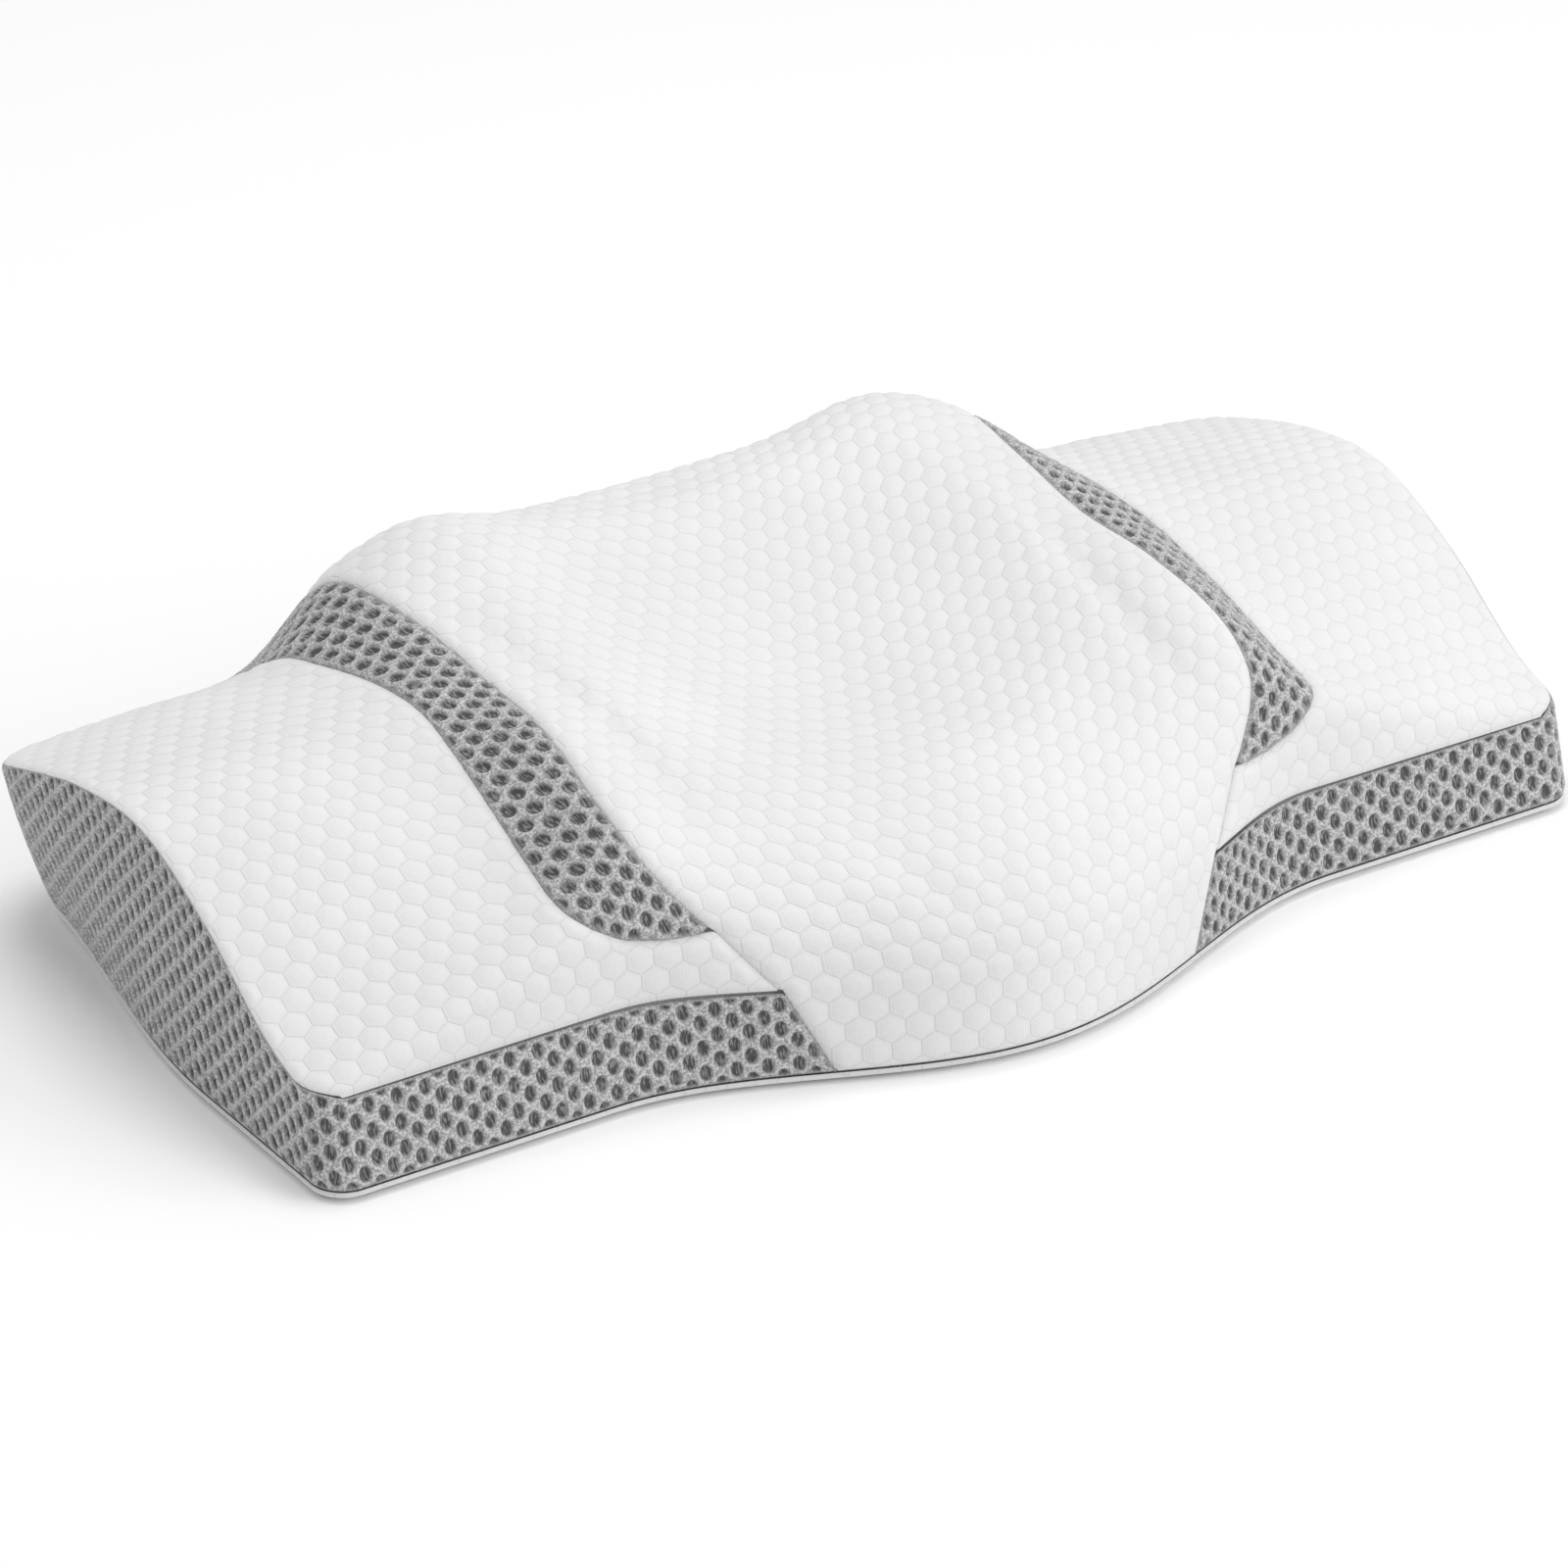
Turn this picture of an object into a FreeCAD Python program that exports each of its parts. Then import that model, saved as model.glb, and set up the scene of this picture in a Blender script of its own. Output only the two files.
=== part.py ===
"""Contoured bed pillow: a moulded foam core in a sewn liner, inside a zipped cover of quilted knit and spacer mesh.

Frame: millimetres, +X along the pillow, -Y towards the low front edge, +Z up.
The origin is the middle of the footprint, on the surface that the pillow rests on.
Depth along the wings, d, is measured from the foot of the wings' front wall.
"""
import FreeCAD
import Part
import math
import os

V = FreeCAD.Vector

# Overall sizes
WIDTH = 625.0
WING_DEPTH = 307.0
NOSE = 49.0
LOBE_HEIGHT = 146.0

# Outline
NOSE_HALF_WIDTH = 180.0
FRONT_CORNER_RADIUS = 16.0
BACK_CORNER_RADIUS = 40.0
WING_FRONT_LEAN = 12.0
NOSE_FRONT_LEAN = 5.0
LEAN_START = 100.0
LEAN_END = 170.0
END_TUCK = 30.0
TUCK_START = 102.0
END_SEAM_HEIGHT = 95.0

# Top contour: heights in percent of LOBE_HEIGHT, a row for each depth and a column for each half width
FRONT_SEAM_HEIGHT = 42.0
ROW_DEPTHS = (-0.14, 0.023, 0.153, 0.316, 0.479, 0.642, 0.805, 0.902, 1.0)
COLUMN_WIDTHS = (0.0, 0.20, 0.37, 0.49, 0.60, 0.77, 1.0)
CONTOUR = (
    (49, 48, 45, 47, 41, 31, 23),
    (59, 59, 59, 60, 53, 41, 29),
    (63, 65, 71, 76, 59, 49, 37),
    (63, 70, 81, 85, 71, 66, 59),
    (68, 75, 85, 87, 80, 77, 73),
    (82, 85, 92, 91, 78, 74, 71),
    (92, 94, 100, 92, 72, 67, 61),
    (88, 89, 93, 82, 60, 57, 53),
    (56, 57, 58, 52, 46, 45, 43),
)
SHELF = 6.0
WING_EDGE_ROLL = 3.5
NOSE_EDGE_ROLL = 7.5

# Cover
COVER_THICKNESS = 4.5
BASE_SEAM_HEIGHT = 7.0
BASE_EDGE_ROUND = 6.0
BACK_GUSSET_HALF_LENGTH = 262.0
INNER_SEAM = ((0.412, 0.046), (0.446, 0.065), (0.474, 0.094), (0.490, 0.135), (0.491, 0.20), (0.484, 0.30),
              (0.474, 0.46), (0.483, 0.63), (0.497, 0.755), (0.503, 0.88), (0.508, 1.03))
OUTER_SEAM = ((0.424, 0.040), (0.500, 0.048), (0.555, 0.070), (0.588, 0.112), (0.597, 0.17), (0.594, 0.27),
              (0.578, 0.40), (0.571, 0.50), (0.577, 0.63), (0.590, 0.74), (0.596, 0.88), (0.600, 1.03))
FLAP_TOP = (0.345, -0.040)
FLAP_FOOT = (0.270, -0.120)

# Liner and core
COVER_CLEARANCE = 0.7
LINER_THICKNESS = 0.8
CORE_CLEARANCE = 0.2
LINER_SEAM_HEIGHT = 30.0

# Zip, seen from behind: two tapes with a coil on each, and the slider that closes them
ZIP_OPENING_LENGTH = 440.0
ZIP_OPENING_HEIGHT = 12.0
TAPE_THICKNESS = 0.8
TAPE_GAP = 1.0
COIL_WIDTH = 2.1
COIL_DEPTH = 1.8
STOP_LENGTH = 4.0
RUNNING_CLEARANCE = 0.3
PLATE_THICKNESS = 1.0
SLIDER_LENGTH = 13.0
SLIDER_FLANGE = 1.0
DIVIDER_THICKNESS = 0.6
DIVIDER_LENGTH = 3.0
CROWN_LENGTH = 8.0
CROWN_WIDTH = 1.6
CROWN_POST = 1.4
CROWN_OPENING = 1.6
PULL_LENGTH = 30.0
PULL_WIDTH = 7.0
PULL_THICKNESS = 1.0
PULL_BAR = 1.0
PULL_EYE_WIDTH = 2.8
PULL_EYE_LENGTH = 4.7
PULL_TIP_WIDTH = 5.0

# Blank label, held in the base seam
LABEL_WIDTH = 26.0
LABEL_HEIGHT = 42.0
LABEL_THICKNESS = 0.5
LABEL_MIDDLE = -237.0

# Places worked out from the sizes
HALF_WIDTH = 0.5 * WIDTH
ZIP_PROUD = RUNNING_CLEARANCE + PLATE_THICKNESS + CROWN_OPENING + PLATE_THICKNESS - 0.5
TOTAL_DEPTH = WING_DEPTH + NOSE + ZIP_PROUD
BACK = 0.5 * TOTAL_DEPTH - ZIP_PROUD
FRONT = BACK - WING_DEPTH
LOFT_TOP = LOBE_HEIGHT + 14.0
ZIP_Z = BASE_SEAM_HEIGHT + 0.5 * ZIP_OPENING_HEIGHT
COIL_FACE = BACK - 0.5
TAPE_FACE = COIL_FACE - COIL_DEPTH
GRID_STEP = 12.0
ROLL_ROWS = (-24.0, -12.0, -5.0, 0.0, 3.0, SHELF, 9.0, 13.0, 18.0, 25.0, 34.0)
FAR = 400.0


def smooth_step(value, low, high):
    """Rises smoothly from 0 at low to 1 at high."""
    t = min(1.0, max(0.0, (value - low) / (high - low)))
    return t * t * (3.0 - 2.0 * t)


def slope(xs, ys, i):
    """The slope of a smooth line through the points at point i."""
    low = max(0, i - 1)
    high = min(len(xs) - 1, i + 1)
    return (ys[high] - ys[low]) / (xs[high] - xs[low])


def smooth_line(xs, ys, x):
    """A smooth line through points, carried on straight past the last ones."""
    last = len(xs) - 1
    if x <= xs[0]:
        return ys[0] + slope(xs, ys, 0) * (x - xs[0])
    if x >= xs[last]:
        return ys[last] + slope(xs, ys, last) * (x - xs[last])
    i = max(k for k in range(last) if xs[k] <= x)
    span = xs[i + 1] - xs[i]
    t = (x - xs[i]) / span
    rise = ys[i] * (1 + 2 * t) * (1 - t) ** 2 + ys[i + 1] * t * t * (3 - 2 * t)
    bend = slope(xs, ys, i) * t * (1 - t) ** 2 - slope(xs, ys, i + 1) * t * t * (1 - t)
    return rise + span * bend


def front_foot(x):
    """Y of the front wall's foot."""
    across = min(1.0, abs(x) / NOSE_HALF_WIDTH)
    return FRONT - NOSE * math.cos(0.5 * math.pi * across) ** 2


def front_lean(x):
    """How far the front wall leans back at the front seam's height."""
    across = smooth_step(abs(x), LEAN_START, LEAN_END)
    return NOSE_FRONT_LEAN + (WING_FRONT_LEAN - NOSE_FRONT_LEAN) * across


def end_foot(y):
    """Half width at the foot of an end wall, which is tucked in towards the back."""
    return HALF_WIDTH - END_TUCK * smooth_step(y - FRONT, TUCK_START, WING_DEPTH)


def contour(x, y):
    """Height of the top before its front edge is rounded off."""
    across = abs(x) / HALF_WIDTH
    depth = (y - FRONT) / WING_DEPTH
    mirrored = tuple(-w for w in COLUMN_WIDTHS[:0:-1]) + COLUMN_WIDTHS
    heights = [smooth_line(mirrored, row[:0:-1] + row, across) for row in CONTOUR]
    return 0.01 * LOBE_HEIGHT * smooth_line(ROW_DEPTHS, heights, depth)


def top_height(x, y):
    """Height of the pillow's top."""
    behind = max(0.0, y - front_foot(x) - front_lean(x) - SHELF)
    roll = NOSE_EDGE_ROLL + (WING_EDGE_ROLL - NOSE_EDGE_ROLL) * smooth_step(abs(x), LEAN_START, LEAN_END)
    above = contour(x, y) - FRONT_SEAM_HEIGHT
    return FRONT_SEAM_HEIGHT + above * (1.0 - (1.0 + behind / roll) * math.exp(-behind / roll))


def curve(points, start=None, end=None):
    """One smooth edge through points."""
    line = Part.BSplineCurve()
    if start:
        line.interpolate(Points=points, InitialTangent=start, FinalTangent=end)
    else:
        line.interpolate(Points=points)
    return line.toShape()


def outline(z, inset):
    """The closed outline at height z, pulled in by inset all round."""
    lean = z / FRONT_SEAM_HEIGHT
    tuck = z / END_SEAM_HEIGHT
    front_radius = FRONT_CORNER_RADIUS - inset
    back_radius = BACK_CORNER_RADIUS - inset
    back = BACK - inset

    def front_y(x):
        return front_foot(x) + front_lean(x) * lean + inset

    def end_x(y):
        return end_foot(y) + (HALF_WIDTH - end_foot(y)) * tuck - inset

    corner_x = HALF_WIDTH - inset - front_radius
    corner_y = front_y(corner_x) + front_radius
    back_y = back - back_radius
    back_x = end_x(back_y) - back_radius
    front_steps = 26
    front = [V(x, front_y(x), z) for x in
             (corner_x * (2.0 * k / front_steps - 1.0) for k in range(front_steps + 1))]
    end_steps = 7
    ends = [corner_y + (back_y - corner_y) * k / end_steps for k in range(end_steps + 1)]
    right = [V(end_x(y), y, z) for y in ends]
    left = [V(-p.x, p.y, z) for p in reversed(right)]
    nook = math.sqrt(0.5)

    def corner(sign, cx, cy, radius, towards):
        middle = V(sign * (cx + nook * radius), cy + towards * nook * radius, z)
        side = V(sign * (cx + radius), cy, z)
        flat = V(sign * cx, cy + towards * radius, z)
        return (flat, middle, side) if sign * towards < 0 else (side, middle, flat)

    edges = [
        curve(front),
        Part.Arc(*corner(1, corner_x, corner_y, front_radius, -1)).toShape(),
        curve(right),
        Part.Arc(*corner(1, back_x, back_y, back_radius, 1)).toShape(),
        Part.makeLine(V(back_x, back, z), V(-back_x, back, z)),
        Part.Arc(*corner(-1, back_x, back_y, back_radius, 1)).toShape(),
        curve(left),
        Part.Arc(*corner(-1, corner_x, corner_y, front_radius, -1)).toShape(),
    ]
    return Part.Wire(edges)


def block(inset, foot):
    """The outline as a tall block with leaning walls, from z = foot up."""
    return Part.makeLoft([outline(foot, inset), outline(LOFT_TOP, inset)], True, True)


def under_top(drop):
    """Everything below the top contour lowered by drop."""
    margin = 2.0 * GRID_STEP
    columns = 2 * round((HALF_WIDTH + margin) / GRID_STEP)
    rows = round(WING_DEPTH / GRID_STEP)
    grid = []
    for i in range(columns + 1):
        x = (HALF_WIDTH + margin) * (2.0 * i / columns - 1.0)
        edge = front_foot(x) + front_lean(x)
        rest = edge + ROLL_ROWS[-1]
        ys = [edge + step for step in ROLL_ROWS]
        ys += [rest + (BACK + margin - rest) * j / rows for j in range(1, rows + 1)]
        grid.append([V(x, y, top_height(x, y) - drop) for y in ys])
    surface = Part.BSplineSurface()
    surface.interpolate(grid)
    return surface.toShape().extrude(V(0, 0, -FAR))


def box(low, high):
    """A box from its two far corners."""
    size = [h - l for l, h in zip(low, high)]
    return Part.makeBox(*size, V(*low))


def prism(edges):
    """A tall upright prism on a closed outline of edges."""
    return Part.Face(Part.Wire(edges)).extrude(V(0, 0, FAR))


def seam_points(seam, side):
    """A seam's plan points on one side of the pillow, side = -1 or 1."""
    return [V(side * w * HALF_WIDTH, FRONT + d * WING_DEPTH, 0) for w, d in seam]


def middle_region(side):
    """Plan region from the middle line out to the inner seam and the flap seam."""
    seam = seam_points(INNER_SEAM, side)
    flap = seam_points((FLAP_TOP, FLAP_FOOT), side)
    foot = V(flap[1].x - side * 10.0, FRONT - NOSE - FAR, 0)
    corners = [foot, V(0, foot.y, 0), V(0, seam[-1].y + FAR, 0), V(seam[-1].x, seam[-1].y + FAR, 0)]
    edges = [Part.makeLine(a, b) for a, b in zip(corners, corners[1:] + [seam[-1]])]
    edges.append(curve(seam))
    path = [seam[0], flap[0], flap[1], foot]
    edges += [Part.makeLine(a, b) for a, b in zip(path, path[1:])]
    return prism(Part.__sortEdges__(edges))


def strip_region():
    """Plan region between the inner and the outer seam on the right."""
    inner = seam_points(INNER_SEAM, 1)
    outer = seam_points(OUTER_SEAM, 1)
    edges = [curve(inner), curve(outer), Part.makeLine(inner[0], outer[0]), Part.makeLine(inner[-1], outer[-1])]
    return prism(Part.__sortEdges__(edges))


def solid_of(shape):
    """The shape's solids as one solid or compound, without split faces."""
    solids = [s for s in shape.Solids if s.Volume > 1.0]
    return solids[0] if len(solids) == 1 else Part.makeCompound(solids)


def cover_parts():
    """The cover's panels."""
    outer = block(0, BASE_SEAM_HEIGHT)
    base = Part.makeLoft([outline(0, BASE_EDGE_ROUND), outline(BASE_SEAM_HEIGHT, 0)], True, True)
    hollow = block(COVER_THICKNESS, BASE_SEAM_HEIGHT - 0.5 * COVER_THICKNESS)
    full = outer.common(under_top(0))
    lowered = under_top(COVER_THICKNESS)
    skin = full.cut(lowered)
    walls = full.common(lowered).cut(hollow)
    parts = {"bottom_panel": base.cut(hollow)}
    middle = middle_region(-1).fuse(middle_region(1)).removeSplitter()
    front = box((-FAR, -FAR, -FAR), (FAR, 0, FAR))
    centre_skin = skin.common(middle)
    centre_front = walls.common(middle).common(front)
    parts["cover_centre_panel"] = centre_skin.fuse(centre_front).removeSplitter()
    back = box((-BACK_GUSSET_HALF_LENGTH, 0, -FAR), (BACK_GUSSET_HALF_LENGTH, FAR, FAR))
    opening = box((-0.5 * ZIP_OPENING_LENGTH, 0, 0),
                  (0.5 * ZIP_OPENING_LENGTH, FAR, BASE_SEAM_HEIGHT + ZIP_OPENING_HEIGHT))
    parts["back_gusset"] = walls.common(back).cut(opening)
    right = box((0, -FAR, -FAR), (FAR, FAR, FAR))
    strip = strip_region()
    sides = {
        "mesh_strip": skin.common(strip),
        "cover_wing": skin.cut(middle).cut(strip).common(right),
        "side_gusset": walls.cut(middle.common(front)).cut(back).common(right),
    }
    for name, shape in sides.items():
        parts[name + "_right"] = shape
        parts[name + "_left"] = shape.mirror(V(0, 0, 0), V(1, 0, 0))
    return parts


def filling_parts():
    """The sewn liner and the moulded core inside it."""
    liner_inset = COVER_THICKNESS + COVER_CLEARANCE
    liner_hollow = liner_inset + LINER_THICKNESS
    core_inset = liner_hollow + CORE_CLEARANCE
    floor = BASE_SEAM_HEIGHT - 0.5 * COVER_THICKNESS + COVER_CLEARANCE
    liner = block(liner_inset, floor).common(under_top(liner_inset))
    hollow = block(liner_hollow, floor + LINER_THICKNESS).common(under_top(liner_hollow))
    core = block(core_inset, floor + LINER_THICKNESS + CORE_CLEARANCE).common(under_top(core_inset))
    lower = box((-FAR, -FAR, -FAR), (FAR, FAR, LINER_SEAM_HEIGHT))
    shell = liner.cut(hollow)
    return {"foam_core": core, "liner_bottom": shell.common(lower), "liner_top": shell.cut(lower)}


def rounded_along(bar, length):
    """A bar with its long edges rounded."""
    return bar.makeFillet(0.3, [e for e in bar.Edges if abs(e.Length - length) < 0.01])


def zip_parts():
    """Tapes, coils and stops, fixed in the opening."""
    half = 0.5 * ZIP_OPENING_LENGTH
    parts = {}
    for name, side in (("upper", 1), ("lower", -1)):
        near = ZIP_Z + side * 0.5 * TAPE_GAP
        far = ZIP_Z + side * 0.5 * ZIP_OPENING_HEIGHT
        crest = near + side * COIL_WIDTH
        tape = box((-half, TAPE_FACE - TAPE_THICKNESS, min(near, far)), (half, TAPE_FACE, max(near, far)))
        coil = box((STOP_LENGTH - half, TAPE_FACE, min(near, crest)),
                   (half - STOP_LENGTH, COIL_FACE, max(near, crest)))
        stop = box((half - STOP_LENGTH, TAPE_FACE, min(near, crest)), (half, COIL_FACE, max(near, crest)))
        parts["zip_tape_" + name] = tape
        parts["zip_coil_" + name] = rounded_along(coil, 2.0 * (half - STOP_LENGTH))
        parts["zip_top_stop_" + name] = rounded_along(stop, STOP_LENGTH)
    reach = 0.5 * TAPE_GAP + COIL_WIDTH
    end = box((-half, TAPE_FACE, ZIP_Z - reach), (STOP_LENGTH - half, COIL_FACE, ZIP_Z + reach))
    parts["zip_bottom_stop"] = rounded_along(end, STOP_LENGTH)
    return parts


def slider_middle():
    """X of the slider's middle when the zip is closed."""
    return 0.5 * ZIP_OPENING_LENGTH - STOP_LENGTH - RUNNING_CLEARANCE - 0.5 * SLIDER_LENGTH


def slider():
    """The slider: two plates joined by a divider, with a crown that holds the pull."""
    middle = slider_middle()
    front = COIL_FACE + RUNNING_CLEARANCE
    rear = TAPE_FACE - TAPE_THICKNESS - RUNNING_CLEARANCE
    inner = 0.5 * TAPE_GAP + COIL_WIDTH + RUNNING_CLEARANCE
    outer = inner + SLIDER_FLANGE
    low_x = middle - 0.5 * SLIDER_LENGTH
    high_x = middle + 0.5 * SLIDER_LENGTH
    flange_end = TAPE_FACE + RUNNING_CLEARANCE

    def plate(y):
        sheet = box((low_x, y, ZIP_Z - outer), (high_x, y + PLATE_THICKNESS, ZIP_Z + outer))
        return sheet.makeFillet(1.5, [e for e in sheet.Edges if abs(e.Length - PLATE_THICKNESS) < 0.01])

    body = plate(front).fuse(plate(rear - PLATE_THICKNESS))
    for side in (-1, 1):
        low = min(side * inner, side * outer)
        body = body.fuse(box((low_x + 1.5, flange_end, ZIP_Z + low),
                             (high_x - 1.5, front, ZIP_Z + low + SLIDER_FLANGE)))
    divider = box((high_x - 1.0 - DIVIDER_LENGTH, rear, ZIP_Z - 0.5 * DIVIDER_THICKNESS),
                  (high_x - 1.0, front, ZIP_Z + 0.5 * DIVIDER_THICKNESS))
    return body.fuse(divider).fuse(crown(middle, front + PLATE_THICKNESS)).removeSplitter()


def crown(middle, foot):
    """The arch on the slider's outer plate."""
    top = foot + CROWN_OPENING + PLATE_THICKNESS
    arch = box((middle - 0.5 * CROWN_LENGTH, foot, ZIP_Z - 0.5 * CROWN_WIDTH),
               (middle + 0.5 * CROWN_LENGTH, top, ZIP_Z + 0.5 * CROWN_WIDTH))
    shoulders = [e for e in arch.Edges if abs(e.Length - CROWN_WIDTH) < 0.01 and e.CenterOfMass.y > top - 0.01]
    arch = arch.makeFillet(0.9, shoulders)
    eye = box((middle - 0.5 * CROWN_LENGTH + CROWN_POST, foot, ZIP_Z - CROWN_WIDTH),
              (middle + 0.5 * CROWN_LENGTH - CROWN_POST, foot + CROWN_OPENING, ZIP_Z + CROWN_WIDTH))
    return arch.cut(eye)


def pull_pivot():
    """The point that the pull turns about, in the middle of its bar."""
    foot = COIL_FACE + RUNNING_CLEARANCE + PLATE_THICKNESS
    return V(slider_middle(), foot + 0.5 * CROWN_OPENING, ZIP_Z)


def pull():
    """The pull tab, lying flat along the closed zip."""
    pivot = pull_pivot()
    bar = 0.5 * PULL_BAR
    wide = 0.5 * PULL_WIDTH
    tip = 0.5 * PULL_TIP_WIDTH
    waist = 0.25 * PULL_LENGTH
    end = bar - PULL_LENGTH
    rim = [(0, -wide), (0, wide), (-waist, wide), (end, tip), (end, -tip), (-waist, -wide)]
    points = [V(pivot.x + x, pivot.y - 0.5 * PULL_THICKNESS, ZIP_Z + z) for x, z in rim]
    tab = Part.Face(Part.makePolygon(points + points[:1])).extrude(V(0, PULL_THICKNESS, 0))
    corners = [e for e in tab.Edges if abs(e.Length - PULL_THICKNESS) < 0.01]
    ends = [e for e in corners if e.CenterOfMass.x < pivot.x - waist - 1.0]
    tab = tab.makeFillet(0.4 * PULL_TIP_WIDTH, ends)
    eye = box((pivot.x - bar - PULL_EYE_LENGTH, pivot.y - PULL_THICKNESS, ZIP_Z - 0.5 * PULL_EYE_WIDTH),
              (pivot.x - bar, pivot.y + PULL_THICKNESS, ZIP_Z + 0.5 * PULL_EYE_WIDTH))
    axle = Part.makeCylinder(bar, PULL_WIDTH, V(pivot.x, pivot.y, ZIP_Z - wide))
    return tab.cut(eye).fuse(axle).removeSplitter()


def label():
    """A blank folded label, hanging up the back wall from the base seam."""
    low = (LABEL_MIDDLE - 0.5 * LABEL_WIDTH, BACK + RUNNING_CLEARANCE, BASE_SEAM_HEIGHT)
    high = (low[0] + LABEL_WIDTH, low[1] + LABEL_THICKNESS, low[2] + LABEL_HEIGHT)
    return box(low, high)


def main():
    parts = cover_parts()
    parts.update(filling_parts())
    parts.update(zip_parts())
    parts["zip_slider"] = slider()
    parts["zip_pull"] = pull()
    parts["care_label"] = label()
    os.makedirs("parts", exist_ok=True)
    for name, shape in parts.items():
        solid = solid_of(shape)
        solid.exportStep("parts/" + name + ".step")
        size = solid.BoundBox
        print(f"{name}: {len(solid.Solids)} solid, {solid.Volume / 1000:.1f} cm3, valid {solid.isValid()}, "
              f"x {size.XMin:.1f} {size.XMax:.1f} y {size.YMin:.1f} {size.YMax:.1f} z {size.ZMin:.1f} {size.ZMax:.1f}")
    pivot = pull_pivot()
    travel = 2.0 * slider_middle()
    print(f"slider travel {travel:.1f}, pull pivot {pivot.x:.2f} {pivot.y:.2f} {pivot.z:.2f}, back wall {BACK:.2f}")


if __name__ == "__main__":
    main()
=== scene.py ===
import math

import bpy
import numpy as np
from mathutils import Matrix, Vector
from mathutils.kdtree import KDTree


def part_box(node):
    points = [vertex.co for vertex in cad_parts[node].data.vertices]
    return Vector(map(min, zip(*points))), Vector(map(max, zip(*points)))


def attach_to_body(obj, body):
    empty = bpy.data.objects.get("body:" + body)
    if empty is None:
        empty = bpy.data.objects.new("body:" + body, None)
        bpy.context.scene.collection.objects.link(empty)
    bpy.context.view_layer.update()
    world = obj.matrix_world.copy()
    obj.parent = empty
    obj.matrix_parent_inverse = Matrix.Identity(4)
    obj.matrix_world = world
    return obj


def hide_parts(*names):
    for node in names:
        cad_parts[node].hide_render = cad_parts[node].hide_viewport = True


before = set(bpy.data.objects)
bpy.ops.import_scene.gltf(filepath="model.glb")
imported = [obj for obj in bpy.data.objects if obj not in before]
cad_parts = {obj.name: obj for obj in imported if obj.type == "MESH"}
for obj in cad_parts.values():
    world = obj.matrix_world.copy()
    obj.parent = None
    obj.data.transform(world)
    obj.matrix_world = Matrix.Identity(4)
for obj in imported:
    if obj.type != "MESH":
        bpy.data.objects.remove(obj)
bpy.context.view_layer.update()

bl_info = {
    "name": "Contoured pillow",
    "version": (1, 0, 0),
    "blender": (4, 5, 0),
    "location": "View3D > Sidebar > Pillow",
    "description": "Builds a contoured bed pillow with its cover, liner, foam core and zip",
    "category": "Add Mesh",
}

SIDES = (("left", -1), ("right", 1))
MIRROR = (-1, 1, 1)
ROOT_3 = math.sqrt(3.0)

# Working distances in metres
BODY_WELD = 0.0004      # points of a closed body nearer than this become one
BASE_WELD = 0.00012     # the same for the base panel, whose points lie closer
ON_RIM = 0.0015         # an edge this near the walls' top seam belongs to it
ON_BASE = 0.0006        # an edge this little above the base seam belongs to it
TUCK = 0.0035           # how deep a panel's edge is turned in at a seam
SEAM_FADE = 0.0016      # how far a seam's mask reaches into a panel
STUFFING_DETAIL = 0.006
BASE_DETAIL = 0.0024
NEAR_BACK = 0.003       # how far the top's grid runs on past the back wall

# Top contour in percent of the height: a row for each depth, a column for each half width
ROW_DEPTHS = (-0.14, 0.023, 0.153, 0.316, 0.479, 0.642, 0.805, 0.902, 1.0)
COLUMN_WIDTHS = (0.0, 0.20, 0.37, 0.49, 0.60, 0.77, 1.0)
CONTOUR = (
    (49, 48, 45, 47, 41, 31, 23),
    (59, 59, 59, 60, 53, 41, 29),
    (63, 65, 71, 76, 59, 49, 37),
    (63, 70, 81, 85, 71, 66, 59),
    (68, 75, 85, 87, 80, 77, 73),
    (82, 85, 92, 91, 78, 74, 71),
    (92, 94, 100, 92, 72, 67, 61),
    (88, 89, 93, 82, 60, 57, 53),
    (56, 57, 58, 52, 46, 45, 43),
)

# Seams on the top: share of the half width, share of the wing depth
FLAP_TOP = (0.345, -0.040)
INNER_SEAM = ((0.413, 0.017), (0.430, 0.028), (0.446, 0.040), (0.464, 0.055), (0.481, 0.080), (0.490, 0.115),
              (0.494, 0.150), (0.494, 0.20), (0.484, 0.29), (0.474, 0.46), (0.483, 0.63), (0.497, 0.755),
              (0.503, 0.88), (0.508, 1.03))
OUTER_SEAM = ((0.413, 0.017), (0.452, 0.028), (0.504, 0.042), (0.543, 0.051), (0.574, 0.063), (0.590, 0.087),
              (0.594, 0.125), (0.592, 0.18), (0.586, 0.29), (0.578, 0.40), (0.571, 0.50), (0.577, 0.63),
              (0.590, 0.74), (0.596, 0.88), (0.600, 1.03))


def number(name, description, default, **kind):
    """A number property, plain unless a unit or subtype is given."""
    return bpy.props.FloatProperty(name=name, description=description, default=default, **kind)


def length(name, description, default):
    """A length property in metres."""
    return number(name, description, default, unit="LENGTH", subtype="DISTANCE", precision=4)


def colour(name, description, default):
    """A colour property."""
    return bpy.props.FloatVectorProperty(name=name, description=description, default=default, size=3,
                                         subtype="COLOR", min=0.0, max=1.0)


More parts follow.
